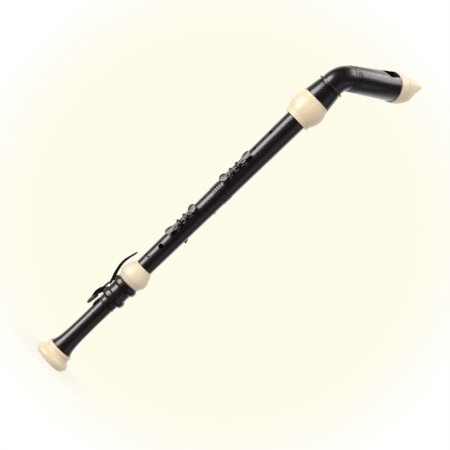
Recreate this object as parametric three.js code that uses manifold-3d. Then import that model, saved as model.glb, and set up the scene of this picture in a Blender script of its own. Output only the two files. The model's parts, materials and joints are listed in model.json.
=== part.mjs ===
// Bass recorder in F, standing upright on its bell, in millimetres with +Z up.
// The origin is the centre of the bell's standing face, on the axis of the bore.
// The front, with the finger holes and the window, faces -Y. The head leans back to +Y.
import * as THREE from "three";
import { mergeVertices } from "three/addons/utils/BufferGeometryUtils.js";
import Module from "manifold-3d";

const wasm = await Module();
wasm.setup();

const degree = Math.PI / 180;
const quarterTurn = Math.PI / 2;
const halfTurn = Math.PI;

// Facets of round work
const bodySides = 24;
const boreSides = 16;
const cupSides = 20;
const holeSides = 12;
const smallSides = 12;
const pinSides = 10;
const chinSides = 56;
const wireSides = 8;

// Steps along smooth curves
const curveSteps = {
  wall: 8,
  ring: 9,
  cone: 7,
  crown: 6,
  bead: 5,
  lip: 4,
  touch: 10,
  longTouch: 22,
  padArm: 6,
  spring: 4,
  hook: 8,
  corner: 3,
  windway: 8,
};

// Clearances
const seat = 0.3; // between pieces that rest, turn or slide on each other
const socketSeat = 0.6; // past the end of a tenon in its socket
const overrun = 8; // how far a cut runs past what it cuts

// Bell ring, the ivory foot that the recorder stands on
const bell = {
  height: 30,
  standRadius: 29.5,
  bulgeRadius: 34,
  bulgeHeight: 9.5,
  shoulderRadius: 28,
  shoulderHeight: 17,
  hollowRadius: 24.6,
  hollowHeight: 22.5,
  lipRadius: 25.4,
  lipHeight: 26.6,
  rimRadius: 24.3,
  floor: 3,
  mouthRadius: 11.5,
};

// Foot joint
const foot = {
  spigotRadius: 20,
  flareRadius: 22.5,
  stemRadius: 15.9,
  stemHeight: 106,
  neckRadius: 16.2,
  neckHeight: 137,
  lipRadius: 17.8,
  lipHeight: 141.6,
  lipLength: 3.2,
  coveRadius: 17.3,
  coveTop: 152,
  beadBaseRadius: 19.8,
  lowerBeadRadius: 23.5,
  lowerBeadHeight: 160.7,
  upperBeadRadius: 24.3,
  upperBeadHeight: 189.3,
  beadLength: 14.5,
  waistRadius: 19.3,
  waistHeight: 175,
  shoulderRadius: 21,
  socketRadius: 14.4,
  socketWall: 2.6,
  boreMouthRadius: 8.4,
  boreTopRadius: 9.3,
};
// Share of the stem's height, share of the flare that is left there
const flareShares = [[0, 1], [0.07, 0.64], [0.17, 0.37], [0.34, 0.16], [0.62, 0.04], [1, 0]];

// Ivory ring round the foot's socket
const footRing = {
  height: 197,
  length: 39,
  baseRadius: 20.8,
  bulgeRadius: 27,
  topRadius: 17.6,
  flange: 5.7,
};
// Share of the ring's length, share of its bulge past the base radius
const footRingRiseShares = [[0, 0], [0.13, 0.42], [0.28, 0.87], [0.42, 1]];
// Share of the ring's length, share of the way out from the top radius to the bulge
const footRingFallShares = [[0.58, 0.86], [0.78, 0.52], [0.92, 0.2], [1, 0]];

// Middle joint
const middle = {
  height: 236.3,
  shoulderHeight: 609.7,
  bottomRadius: 16.6,
  topRadius: 20.2,
  edgeRound: 0.5,
  boreBottomRadius: 9.6,
  boreTopRadius: 13,
  bandHeight: 416,
  bandLength: 20,
  bandRise: 0.9,
  bandGrooveDepth: 0.6,
  bandGrooveCount: 3,
};
// Shares of a rib's pitch where its face starts, where it ends and where the groove is deepest
const bandRibShares = { start: 0.125, end: 0.75, groove: 0.875 };

// Tenons: each has two lips with a cork sleeve between them
const tenon = { lip: 4, corkClearance: 0.3, corkThickness: 1.2 };
const lowerTenon = { length: 36.3, corkRadius: 14.1 };
const upperTenon = { length: 36, corkRadius: 18.7 };

// Finger holes on the front: height, angle towards +X, radius
const fingerHoles = [
  { height: 563, angle: -11 * degree, radius: 3.65 },
  { height: 523, angle: -11 * degree, radius: 2.8 },
  { height: 285, angle: 17 * degree, radius: 4.6 },
];
const doubleHole = {
  height: 256,
  angle: -2 * degree,
  largeRadius: 2.3,
  smallRadius: 1.65,
  spacing: 5.8,
  padRadius: 5.4,
  padRise: 0.9,
};
const thumbHole = { height: 588, radius: 3.4 };

// Ivory ring round the head socket
const headRing = {
  height: 610,
  length: 50,
  stepRadius: 25.5,
  bandRadius: 26.5,
  stepLength: 3.6,
  bandLength: 8.4,
  grooveWidth: 0.5,
  bulgeRadius: 33,
  capLength: 5.2,
  capRadius: 28.5,
  grooveDepth: 0.5,
  flange: 3.7,
  socketRadius: 19,
};
// Share of the bulge's length, share of its rise past the band
const headRingRiseShares = [
  [0, 0], [0.1, 0.33], [0.25, 0.7], [0.42, 0.95],
  [0.54, 1], [0.72, 0.93], [0.88, 0.7], [1, 0.4],
];

// Black sleeve that joins the middle joint and the neck
const sleeve = {
  baseRadius: 27.9,
  rimRadius: 24,
  length: 30.4,
  edge: 1,
  spigotWall: 4,
  webLength: 13,
  boreRadius: 13.2,
  neckSocketRadius: 18.3,
  neckSocketDepth: 27.5,
};

// Neck: the bent tube between the sleeve and the head barrel
const neck = {
  collarRadius: 23,
  collarLength: 2.2,
  flangeRadius: 26,
  flangeLength: 2.6,
  tubeRadius: 22.3,
  vertexHeight: 718,
  bendAngle: 62.5 * degree,
  bendRadius: 31,
  outletLength: 20.3,
  outletRimRadius: 23.1,
  outletRimLength: 2.2,
  boreRadius: 13.2,
  lowerTenonCorkRadius: 18,
  lowerTenonLength: 26,
  upperTenonCorkRadius: 16.9,
  upperTenonLength: 22,
  steps: 11,
};

// Head barrel, measured along the head's own axis from the bend's corner
const barrel = {
  length: 112.5,
  rimRadius: 23.4,
  topRadius: 27.2,
  grooveStart: 3.4,
  grooveSpacing: 2.6,
  grooveWidth: 0.7,
  grooveDepth: 0.5,
  grooveCount: 3,
  boreRadius: 18.2,
  spigotRadius: 22.4,
  spigotLength: 15,
};
const windowCut = { width: 19, farWidth: 22, bridge: 1.5, cutUp: 6.5, rampLength: 15, lipThickness: 0.8 };
// The windway follows the round of the bore at the block and is less curved at the tip
const windway = { width: 17, height: 1.5, tipCurveShare: 0.3 };

// Beak cap: a band, a fine groove and the beak, which is cut away on top and under the chin
const beak = {
  bandLength: 18.5,
  bandEdgeRadius: 28.8,
  bandRadius: 29.8,
  grooveDepth: 0.7,
  grooveWidth: 0.9,
  coneRadius: 28.4,
  length: 65,
  tipRadius: 15.5,
  tipRound: 1.4,
  crownTip: 15,
  tipUnderside: 9.5,
  hollowLength: 23,
  undercutRadius: 90,
  undercutPastTip: 39,
};
// Share of the cone's length, share of its taper that is left there
const beakConeShares = [[0, 1], [0.12, 0.93], [0.4, 0.66], [0.7, 0.32], [1, 0.04]];
const beakCrownShares = [[0.06, 1], [0.3, 0.76], [0.6, 0.38], [1, 0]];
const beakDrumSpan = 2 * (beak.coneRadius + overrun);

// Keys: each is a touch lever and a pad lever that rock against each other
const key = {
  pinRadius: 1,
  hubRadius: 2.4,
  hubWidth: 5.9,
  armThickness: 1.8,
  armHalfWidth: 2.3,
  nubRadius: 1.2,
  tongueThickness: 1.5,
  tongueOverlap: 1.2,
  cupThickness: 1.4,
  cupRimDepth: 1.4,
  cupRimWidth: 0.8,
  padThickness: 2.4,
  seatRise: 1.4,
  seatWall: 2.6,
  earThickness: 2.1,
  earRadius: 2.7,
  springThickness: 0.4,
  springWidth: 3,
};
// Shares of an ear's radius at its foot
const earFootShare = 1.3;
// The pad's arm: shares of the reach and of the cup's radius, and of the arm's rise and width
const padArmShares = { bend: 0.35, rise: 0.5, straight: 0.5, pastCentre: 0.4, tip: 0.8 };
// The touch in plan: shares of its half width behind its centre, then of the way to its tip
const touchRootShares = [[1.6, 0], [0.6, 0.86]];
const touchTipShares = [[0.25, 1], [0.8, 0.66], [1, 0]];

// The two keys on the middle joint are alike and lie head to head
const middleKey = {
  pivotRise: 6.2,
  touchInnerArm: 7.4,
  padInnerArm: 7.4,
  nubOffset: -1.6,
  padReach: 18.4,
  padLift: 3.2,
  cupRadius: 8.6,
  holeRadius: 4.6,
  touchLength: 31,
  touchHalfWidth: 6.3,
  touchCentre: 21,
  touchDrop: 0.7,
};
// Shares of the inner arm and of the nub's offset, where the touch's arm comes up to its hub
const touchRootDipShares = { along: 0.6, offset: 0.9 };
const upperKeyPlace = { name: "upper", height: 474.3, angle: 3 * degree, reversed: false };
const lowerKeyPlace = { name: "lower", height: 345.1, angle: 3 * degree, reversed: true };
const saddle = { thickness: 1.2, halfWidth: 8.5, pastPivot: 9.6, cornerRadius: 4 };

// The foot key rocks in slots that are cut in the foot's two beads
const footKey = {
  angle: -45 * degree,
  contactHeight: 173.5,
  pivotRadius: 21.2,
  nubOffset: 0.4,
  padReach: 28.2,
  padLift: 3.9,
  cupRadius: 12.4,
  holeRadius: 5.4,
  pinLength: 16,
  slotFloorRadius: 17.6,
  slotLength: 18,
  archHeight: 9,
  archEnd: 5.2,
  touchLength: 58,
  touchHalfWidth: 5.6,
  touchCentre: 49,
};
// Share of the touch's length, share of the arch's height along the lever's middle line
const footArchShares = [[0.05, 0.1], [0.1, 0.52], [0.17, 0.86], [0.28, 1], [0.45, 1.02], [0.7, 0.84]];

// Thumb rest and strap eye on the back of the middle joint
const thumbRest = {
  height: 322,
  plateLength: 26,
  plateHalfWidth: 7,
  plateThickness: 1.6,
  hookReach: 9.5,
  hookThickness: 2.6,
  hookHalfWidth: 8,
  hookDrop: 5,
};
// Share of the hook's drop, share of its reach
const hookShares = [[-0.5, 0], [-0.5, 0.5], [0.35, 1], [1, 1]];
const strapEye = { height: 392, ringRadius: 4.4, wireRadius: 1.1, stemRadius: 2.2, stemLength: 1.2 };

const ivory = { color: 0xf6e7cc, roughness: 0.35, metalness: 0 };
const darkPlastic = { color: 0x221c1d, roughness: 0.4, metalness: 0 };
const keyPlastic = { color: 0x18171a, roughness: 0.28, metalness: 0 };
const corkMatter = { color: 0xc39a68, roughness: 0.9, metalness: 0 };
const padSkin = { color: 0xd9c9a6, roughness: 0.7, metalness: 0 };
const springSteel = { color: 0x9a9ca3, roughness: 0.3, metalness: 1 };
const pinSteel = { color: 0xc4c6cb, roughness: 0.25, metalness: 1 };

// Solids and meshes
function solidOf(geometry) {
  const bare = geometry.clone();
  bare.deleteAttribute("normal");
  bare.deleteAttribute("uv");
  const merged = mergeVertices(bare);
  const corners = merged.index.array;
  const triangles = [];
  for (let i = 0; i < corners.length; i += 3) {
    const [a, b, c] = [corners[i], corners[i + 1], corners[i + 2]];
    if (a !== b && b !== c && c !== a) triangles.push(a, b, c);
  }
  return new wasm.Manifold(new wasm.Mesh({
    numProp: 3,
    vertProperties: new Float32Array(merged.attributes.position.array),
    triVerts: new Uint32Array(triangles),
  }));
}

function geometryOf(solid) {
  const { vertProperties, triVerts, numProp } = solid.getMesh();
  const geometry = new THREE.BufferGeometry();
  const places = [];
  for (let i = 0; i < vertProperties.length; i += numProp) {
    places.push(vertProperties[i], vertProperties[i + 1], vertProperties[i + 2]);
  }
  geometry.setAttribute("position", new THREE.Float32BufferAttribute(places, 3));
  geometry.setIndex([...triVerts]);
  geometry.computeVertexNormals();
  return geometry;
}

function join(solids) {
  return solids.reduce((whole, next) => whole.add(next));
}

function cut(solid, cutters) {
  return cutters.reduce((left, next) => left.subtract(next), solid);
}

function meshOf(name, solid, matter) {
  const mesh = new THREE.Mesh(geometryOf(solid), new THREE.MeshStandardMaterial(matter));
  mesh.name = name;
  return mesh;
}

// A ring or rod turned about Z from a closed outline of [radius, height] points
function turned(outline, sides = bodySides) {
  const points = outline.map(([radius, height]) => new THREE.Vector2(radius, height));
  if (THREE.ShapeUtils.area(points) < 0) points.reverse();
  points.push(points[0].clone());
  const geometry = new THREE.LatheGeometry(points, sides);
  geometry.rotateX(quarterTurn);
  return solidOf(geometry);
}

// A straight or tapered rod along Z between two heights
function rod(bottomRadius, topRadius, bottom, top, sides = boreSides) {
  return turned([[0, bottom], [bottomRadius, bottom], [topRadius, top], [0, top]], sides);
}

// A pin along X, centred on x = 0, at an outward distance and a height
function crossPin(radius, length, outward, height, sides = pinSides) {
  const geometry = new THREE.CylinderGeometry(radius, radius, length, sides);
  geometry.rotateZ(quarterTurn);
  geometry.translate(0, -outward, height);
  return solidOf(geometry);
}

// A drill along the outward direction at a height and an angle from the front towards +X
function drill(radius, near, far, height, angle, sides = holeSides) {
  const geometry = new THREE.CylinderGeometry(radius, radius, far - near, sides);
  geometry.translate(0, -(near + far) / 2, height);
  geometry.rotateZ(angle);
  return solidOf(geometry);
}

// A plate that is drawn from the side, in (height, outward), and is centred on x = 0
const sideBasis = new THREE.Matrix4().makeBasis(
  new THREE.Vector3(0, 0, 1), new THREE.Vector3(0, -1, 0), new THREE.Vector3(1, 0, 0));

function sidePlate(shape, width, curveSegments = 6) {
  const geometry = new THREE.ExtrudeGeometry(shape, { depth: width, bevelEnabled: false, curveSegments });
  geometry.translate(0, 0, -width / 2);
  geometry.applyMatrix4(sideBasis);
  return solidOf(geometry);
}

// A plate that is drawn from outside, in (x, height), and is raised outwards from near to far
const planBasis = new THREE.Matrix4().makeBasis(
  new THREE.Vector3(1, 0, 0), new THREE.Vector3(0, 0, 1), new THREE.Vector3(0, -1, 0));

function planPlate(shape, near, far, curveSegments = 6) {
  const depth = far - near;
  const geometry = new THREE.ExtrudeGeometry(shape, { depth, bevelEnabled: false, curveSegments });
  geometry.translate(0, 0, near);
  geometry.applyMatrix4(planBasis);
  return solidOf(geometry);
}

function smooth(points, count) {
  const curve = new THREE.SplineCurve(points.map(([x, y]) => new THREE.Vector2(x, y)));
  return curve.getPoints(count).map((point) => [point.x, point.y]);
}

// The outline of a strip of one thickness along a smooth middle line
function strip(middleLine, thickness, count) {
  const curve = new THREE.SplineCurve(middleLine.map(([x, y]) => new THREE.Vector2(x, y)));
  const sides = [[], []];
  for (let i = 0; i <= count; i += 1) {
    const place = curve.getPoint(i / count);
    const along = curve.getTangent(i / count);
    const across = new THREE.Vector2(-along.y, along.x).multiplyScalar(thickness / 2);
    sides[0].push(place.clone().add(across));
    sides[1].push(place.clone().sub(across));
  }
  return new THREE.Shape([...sides[0], ...sides[1].reverse()]);
}

// A plan that is the same on both sides of the middle line, from [height, half width] points
function evenPlan(points, count) {
  const edge = smooth(points, count);
  const left = edge.map(([height, half]) => new THREE.Vector2(-half, height));
  const right = edge.map(([height, half]) => new THREE.Vector2(half, height));
  return new THREE.Shape([...left, ...right.reverse()]);
}

// Half an oval bead on a turned body, as [radius, height] points from low to high
function beadPoints(baseRadius, topRadius, height, length, count = curveSteps.bead) {
  const points = [];
  for (let i = 0; i <= count; i += 1) {
    const angle = (i / count) * halfTurn;
    const radius = baseRadius + (topRadius - baseRadius) * Math.sin(angle);
    points.push([radius, height - (length / 2) * Math.cos(angle)]);
  }
  return points;
}

// Places that several pieces share
const footRingTop = footRing.height + footRing.length;
const sleeveFoot = headRing.height + headRing.flange + seat;
const sleeveBottom = headRing.height + headRing.length + seat;
const sleeveTop = sleeveBottom + sleeve.length;
const neckBottom = sleeveTop + seat;
const barrelStart = neck.outletLength + seat;
const barrelEnd = barrelStart + barrel.length;
const beakStart = barrelEnd + seat;
const beakTip = beakStart + beak.length;
const beakHollowEnd = beakStart + beak.hollowLength;
const windwayFloor = barrel.boreRadius - windway.height - seat;

function middleRadiusAt(height) {
  const share = (height - middle.height) / (middle.shoulderHeight - middle.height);
  return middle.bottomRadius + (middle.topRadius - middle.bottomRadius) * share;
}

// Bell ring
function bellRing() {
  const wall = smooth([
    [bell.standRadius, 0],
    [bell.bulgeRadius, bell.bulgeHeight],
    [bell.shoulderRadius, bell.shoulderHeight],
    [bell.hollowRadius, bell.hollowHeight],
  ], curveSteps.wall);
  const outline = [
    [bell.mouthRadius, 0],
    ...wall,
    [bell.lipRadius, bell.lipHeight - (bell.height - bell.lipHeight) / 2],
    [bell.lipRadius, bell.lipHeight + (bell.height - bell.lipHeight) / 2],
    [bell.rimRadius, bell.height],
    [foot.spigotRadius + seat, bell.height],
    [foot.spigotRadius + seat, bell.floor],
    [bell.mouthRadius, bell.floor],
  ];
  return meshOf("bell_ring", turned(outline), ivory);
}

// Foot joint: a flared stem, a lip, two slotted beads and a spigot for the ring
function footOutline() {
  const flareFoot = bell.height + seat;
  const flare = flareShares.map(([up, left]) => [
    foot.stemRadius + (foot.flareRadius - foot.stemRadius) * left,
    flareFoot + (foot.stemHeight - flareFoot) * up,
  ]);
  const socketFloor = middle.height - lowerTenon.length - socketSeat;
  const shoulder = footRing.height - seat;
  const spigotTop = footRingTop - footRing.flange - seat;
  const spigotRadius = foot.socketRadius + foot.socketWall;
  return [
    [foot.boreMouthRadius, bell.floor + seat],
    [foot.spigotRadius, bell.floor + seat],
    [foot.spigotRadius, flareFoot],
    ...flare,
    [foot.neckRadius, foot.neckHeight],
    ...beadPoints(foot.neckRadius, foot.lipRadius, foot.lipHeight, foot.lipLength, curveSteps.lip),
    [foot.coveRadius, foot.lipHeight + foot.lipLength],
    [foot.coveRadius, foot.coveTop],
    ...beadPoints(foot.beadBaseRadius, foot.lowerBeadRadius, foot.lowerBeadHeight, foot.beadLength),
    [foot.waistRadius, foot.waistHeight],
    ...beadPoints(foot.beadBaseRadius, foot.upperBeadRadius, foot.upperBeadHeight, foot.beadLength),
    [foot.shoulderRadius, shoulder],
    [spigotRadius, shoulder],
    [spigotRadius, spigotTop],
    [foot.socketRadius, spigotTop],
    [foot.socketRadius, socketFloor],
    [foot.boreTopRadius, socketFloor],
  ];
}

function turnAboutAxis(solid, angle) {
  return solidOf(geometryOf(solid).rotateZ(angle));
}

// A block centred on x = 0, from near to far outwards and between two heights
function block(width, near, far, bottom, top) {
  const geometry = new THREE.BoxGeometry(width, far - near, top - bottom);
  geometry.translate(0, -(near + far) / 2, (bottom + top) / 2);
  return solidOf(geometry);
}

function footJoint() {
  const slotWidth = key.hubWidth + 2 * seat;
  const far = foot.upperBeadRadius + overrun;
  const half = footKey.slotLength / 2;
  const beadSlots = [foot.lowerBeadHeight, foot.upperBeadHeight].map((height) =>
    block(slotWidth, footKey.slotFloorRadius, far, height - half, height + half));
  const pinHoles = [foot.lowerBeadHeight, foot.upperBeadHeight].map((height) =>
    crossPin(key.pinRadius + seat, 2 * far, footKey.pivotRadius, height));
  const padHeight = foot.lowerBeadHeight - footKey.padReach;
  const toneSeat = drill(footKey.holeRadius + key.seatWall, foot.boreTopRadius,
    foot.neckRadius + key.seatRise, padHeight, 0);
  const toneHole = drill(footKey.holeRadius, 0, foot.neckRadius + overrun, padHeight, 0);
  const bore = rod(foot.boreMouthRadius, foot.boreTopRadius, bell.floor, footRing.height);
  const atFront = cut(join([turned(footOutline()), toneSeat]), [...beadSlots, ...pinHoles, toneHole, bore]);
  return meshOf("foot_joint", turnAboutAxis(atFront, footKey.angle), darkPlastic);
}

function footSocketRing() {
  const rise = footRing.bulgeRadius - footRing.baseRadius;
  const fall = footRing.bulgeRadius - footRing.topRadius;
  const wall = smooth([
    ...footRingRiseShares.map(([up, out]) =>
      [footRing.baseRadius + rise * out, footRing.height + footRing.length * up]),
    ...footRingFallShares.map(([up, out]) =>
      [footRing.topRadius + fall * out, footRing.height + footRing.length * up]),
  ], curveSteps.ring);
  const innerRadius = foot.socketRadius + foot.socketWall + seat;
  const flangeFloor = footRingTop - footRing.flange;
  const outline = [
    [innerRadius, footRing.height],
    ...wall,
    [foot.socketRadius, footRingTop],
    [foot.socketRadius, flangeFloor],
    [innerRadius, flangeFloor],
  ];
  return meshOf("foot_socket_ring", turned(outline), ivory);
}

// Middle joint
function tenonOutline(shoulder, length, direction, corkRadius) {
  const lipRadius = corkRadius;
  const coreRadius = corkRadius - tenon.corkThickness - tenon.corkClearance;
  const end = shoulder + direction * length;
  return [
    [lipRadius, shoulder],
    [lipRadius, shoulder + direction * tenon.lip],
    [coreRadius, shoulder + direction * tenon.lip],
    [coreRadius, end - direction * tenon.lip],
    [lipRadius, end - direction * tenon.lip],
    [lipRadius, end],
  ];
}

function corkSleeve(name, shoulder, length, direction, corkRadius) {
  const inner = corkRadius - tenon.corkThickness;
  const near = shoulder + direction * (tenon.lip + seat);
  const far = shoulder + direction * (length - tenon.lip - seat);
  const outline = [[inner, near], [corkRadius, near], [corkRadius, far], [inner, far]];
  return meshOf(name, turned(outline), corkMatter);
}

function bandPoints() {
  const points = [[middleRadiusAt(middle.bandHeight), middle.bandHeight]];
  const ribs = middle.bandGrooveCount + 1;
  const pitch = middle.bandLength / ribs;
  for (let i = 0; i < ribs; i += 1) {
    const low = middle.bandHeight + pitch * i;
    const outer = middleRadiusAt(low) + middle.bandRise;
    points.push([outer, low + pitch * bandRibShares.start], [outer, low + pitch * bandRibShares.end]);
    if (i < ribs - 1) points.push([outer - middle.bandGrooveDepth, low + pitch * bandRibShares.groove]);
  }
  const top = middle.bandHeight + middle.bandLength;
  points.push([middleRadiusAt(top), top]);
  return points;
}

function middleOutline() {
  const bottom = middle.height;
  const top = middle.shoulderHeight;
  const low = tenonOutline(bottom, lowerTenon.length, -1, lowerTenon.corkRadius).reverse();
  const high = tenonOutline(top, upperTenon.length, 1, upperTenon.corkRadius);
  return [
    [middle.boreBottomRadius, bottom - lowerTenon.length],
    ...low,
    [middle.bottomRadius - middle.edgeRound, bottom],
    [middle.bottomRadius, bottom + middle.edgeRound],
    ...bandPoints(),
    [middle.topRadius, top - middle.edgeRound],
    [middle.topRadius - middle.edgeRound, top],
    ...high,
    [middle.boreTopRadius, top + upperTenon.length],
  ];
}

function doublePad() {
  const radius = middleRadiusAt(doubleHole.height) + doubleHole.padRise;
  const post = drill(doubleHole.padRadius, middle.boreBottomRadius + seat, radius + overrun,
    doubleHole.height, doubleHole.angle);
  const skin = rod(radius, radius, doubleHole.height - doubleHole.padRadius * 2,
    doubleHole.height + doubleHole.padRadius * 2, bodySides);
  return post.intersect(skin);
}

function keySeat(place) {
  const height = padHeightOf(place);
  const top = middleRadiusAt(height) + key.seatRise;
  const near = middle.boreTopRadius + seat;
  return drill(middleKey.holeRadius + key.seatWall, near, top, height, place.angle);
}

function padHeightOf(place) {
  const direction = place.reversed ? 1 : -1;
  return place.height + direction * (middleKey.padInnerArm + middleKey.padReach);
}

function middleJoint() {
  const far = middle.topRadius + overrun;
  const top = middle.shoulderHeight + upperTenon.length + overrun;
  const bottom = middle.height - lowerTenon.length - overrun;
  const places = [upperKeyPlace, lowerKeyPlace];
  const slope = doubleHole.spacing / 2 / middleRadiusAt(doubleHole.height);
  const bores = [
    rod(middle.boreBottomRadius, middle.boreTopRadius, bottom, top),
    ...fingerHoles.map((hole) => drill(hole.radius, 0, far, hole.height, hole.angle)),
    ...places.map((place) => drill(middleKey.holeRadius, 0, far, padHeightOf(place), place.angle)),
    drill(doubleHole.largeRadius, 0, far, doubleHole.height, doubleHole.angle - slope),
    drill(doubleHole.smallRadius, 0, far, doubleHole.height, doubleHole.angle + slope),
    drill(thumbHole.radius, 0, far, thumbHole.height, halfTurn),
  ];
  const body = join([turned(middleOutline()), doublePad(), ...places.map(keySeat)]);
  return meshOf("middle_joint", cut(body, bores), darkPlastic);
}

// Head ring and sleeve
function headSocketRing() {
  const base = headRing.height;
  const top = base + headRing.length;
  const bulgeFoot = base + headRing.bandLength;
  const bulgeLength = headRing.length - headRing.bandLength - headRing.capLength;
  const rise = headRing.bulgeRadius - headRing.bandRadius;
  const bulge = smooth(headRingRiseShares.map(([up, out]) =>
    [headRing.bandRadius + rise * out, bulgeFoot + bulgeLength * up]), curveSteps.wall);
  const innerRadius = headRing.socketRadius + sleeve.spigotWall + seat;
  const capFoot = top - headRing.capLength;
  const outline = [
    [headRing.socketRadius, base],
    [headRing.stepRadius, base],
    [headRing.stepRadius, base + headRing.stepLength],
    [headRing.stepRadius - headRing.grooveDepth, base + headRing.stepLength + headRing.grooveWidth],
    [headRing.bandRadius, base + headRing.stepLength + 2 * headRing.grooveWidth],
    ...bulge,
    [headRing.capRadius - headRing.grooveDepth, capFoot + headRing.grooveWidth],
    [headRing.capRadius, capFoot + 2 * headRing.grooveWidth],
    [headRing.capRadius, top],
    [innerRadius, top],
    [innerRadius, base + headRing.flange],
    [headRing.socketRadius, base + headRing.flange],
  ];
  return meshOf("head_socket_ring", turned(outline), ivory);
}

function headSleeve() {
  const spigotRadius = headRing.socketRadius + sleeve.spigotWall;
  const socketRoof = sleeveTop - sleeve.neckSocketDepth - sleeve.webLength;
  const neckSocketFloor = sleeveTop - sleeve.neckSocketDepth;
  const outline = [
    [headRing.socketRadius, sleeveFoot],
    [spigotRadius, sleeveFoot],
    [spigotRadius, sleeveBottom],
    [sleeve.baseRadius, sleeveBottom],
    [sleeve.baseRadius, sleeveBottom + sleeve.edge],
    [sleeve.rimRadius, sleeveTop - sleeve.edge],
    [sleeve.rimRadius - sleeve.edge, sleeveTop],
    [sleeve.neckSocketRadius, sleeveTop],
    [sleeve.neckSocketRadius, neckSocketFloor],
    [sleeve.boreRadius, neckSocketFloor],
    [sleeve.boreRadius, socketRoof],
    [headRing.socketRadius, socketRoof],
  ];
  return meshOf("head_sleeve", turned(outline), darkPlastic);
}

// Neck
class BendPath extends THREE.Curve {
  constructor(inlet, outlet) {
    super();
    this.inlet = inlet;
    this.outlet = outlet;
    this.arc = neck.bendRadius * neck.bendAngle;
  }

  getPoint(share) {
    const tangentLength = neck.bendRadius * Math.tan(neck.bendAngle / 2);
    const run = share * (this.inlet + this.arc + this.outlet);
    const start = neck.vertexHeight - tangentLength;
    if (run <= this.inlet) return new THREE.Vector3(0, 0, start - this.inlet + run);
    const bend = Math.min(run - this.inlet, this.arc) / neck.bendRadius;
    const past = Math.max(run - this.inlet - this.arc, 0);
    const back = neck.bendRadius * (1 - Math.cos(bend)) + past * Math.sin(neck.bendAngle);
    const up = start + neck.bendRadius * Math.sin(bend) + past * Math.cos(neck.bendAngle);
    return new THREE.Vector3(0, back, up);
  }
}

function sweptRod(radius, inlet, outlet, sides) {
  const round = new THREE.Shape().absarc(0, 0, radius, 0, 2 * Math.PI, false);
  const geometry = new THREE.ExtrudeGeometry(round, {
    extrudePath: new BendPath(inlet, outlet),
    steps: neck.steps,
    curveSegments: sides / 2,
    bevelEnabled: false,
  });
  return solidOf(geometry);
}

function alongHead(solid) {
  const geometry = geometryOf(solid);
  geometry.rotateX(-neck.bendAngle);
  geometry.translate(0, 0, neck.vertexHeight);
  return solidOf(geometry);
}

function tenonSolid(shoulder, length, direction, corkRadius) {
  const outline = tenonOutline(shoulder, length, direction, corkRadius);
  const end = shoulder + direction * length;
  return turned([[0, shoulder], ...outline, [0, end]]);
}

function neckElbow() {
  const tangentLength = neck.bendRadius * Math.tan(neck.bendAngle / 2);
  const inlet = neck.vertexHeight - tangentLength - neckBottom;
  const outlet = neck.outletLength - tangentLength;
  const flangeFoot = neckBottom + neck.collarLength;
  const flangeTop = flangeFoot + neck.flangeLength;
  const collar = rod(neck.collarRadius, neck.collarRadius, neckBottom, flangeTop - seat, bodySides);
  const flange = rod(neck.flangeRadius, neck.flangeRadius, flangeFoot, flangeTop, bodySides);
  const lower = tenonSolid(neckBottom + seat, neck.lowerTenonLength, -1, neck.lowerTenonCorkRadius);
  const rimFoot = neck.outletLength - neck.outletRimLength;
  const rim = rod(neck.outletRimRadius, neck.outletRimRadius, rimFoot, neck.outletLength, bodySides);
  const upperFoot = neck.outletLength - seat;
  const upper = tenonSolid(upperFoot, neck.upperTenonLength, 1, neck.upperTenonCorkRadius);
  const tube = sweptRod(neck.tubeRadius, inlet, outlet, bodySides);
  const body = join([tube, collar, flange, lower, alongHead(rim), alongHead(upper)]);
  const bore = sweptRod(neck.boreRadius, inlet + neck.lowerTenonLength + overrun,
    outlet + neck.upperTenonLength + overrun, boreSides);
  return meshOf("neck_elbow", cut(body, [bore]), darkPlastic);
}

// Head barrel, in the head's own frame
function barrelOutline() {
  const points = [[barrel.rimRadius, barrelStart]];
  const taper = (barrel.topRadius - barrel.rimRadius) / barrel.length;
  for (let i = 0; i < barrel.grooveCount; i += 1) {
    const place = barrel.grooveStart + barrel.grooveSpacing * i;
    const radius = barrel.rimRadius + taper * place;
    points.push([radius, barrelStart + place]);
    points.push([radius - barrel.grooveDepth, barrelStart + place + barrel.grooveWidth / 2]);
    points.push([radius, barrelStart + place + barrel.grooveWidth]);
  }
  const spigotEnd = barrelEnd + barrel.spigotLength;
  const socketFloor = neck.outletLength + neck.upperTenonLength + socketSeat;
  const socketRadius = neck.upperTenonCorkRadius + seat;
  return [
    ...points,
    [barrel.topRadius, barrelEnd],
    [barrel.spigotRadius, barrelEnd],
    [barrel.spigotRadius, spigotEnd],
    [barrel.boreRadius, spigotEnd],
    [barrel.boreRadius, socketFloor],
    [socketRadius, socketFloor],
    [socketRadius, barrelStart],
  ];
}

// The window: an opening down to the bore, then a ramp that rises from the lip to the outside
function windowCutter() {
  const exit = barrelEnd - windowCut.bridge;
  const lip = exit - windowCut.cutUp;
  const lipRadius = barrel.boreRadius + windowCut.lipThickness;
  const far = barrel.topRadius + overrun;
  const runOut = overrun / (barrel.topRadius - lipRadius);
  const rampStart = lip - windowCut.rampLength;
  const farStart = rampStart - windowCut.rampLength * runOut;
  const slope = turned([[lipRadius, lip], [far, farStart], [far, lip + seat], [lipRadius, lip + seat]]);
  const ramp = slope.intersect(planPlate(new THREE.Shape([
    new THREE.Vector2(-windowCut.width / 2, lip + seat),
    new THREE.Vector2(windowCut.width / 2, lip + seat),
    new THREE.Vector2(windowCut.width / 2, lip),
    new THREE.Vector2(windowCut.farWidth / 2, rampStart),
    new THREE.Vector2(-windowCut.farWidth / 2, rampStart),
    new THREE.Vector2(-windowCut.width / 2, lip),
  ]), 0, far));
  return join([block(windowCut.width, 0, far, lip, exit), ramp]);
}

function headBarrel() {
  const solid = cut(turned(barrelOutline()), [windowCutter()]);
  return meshOf("head_barrel", solid, darkPlastic);
}

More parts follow.
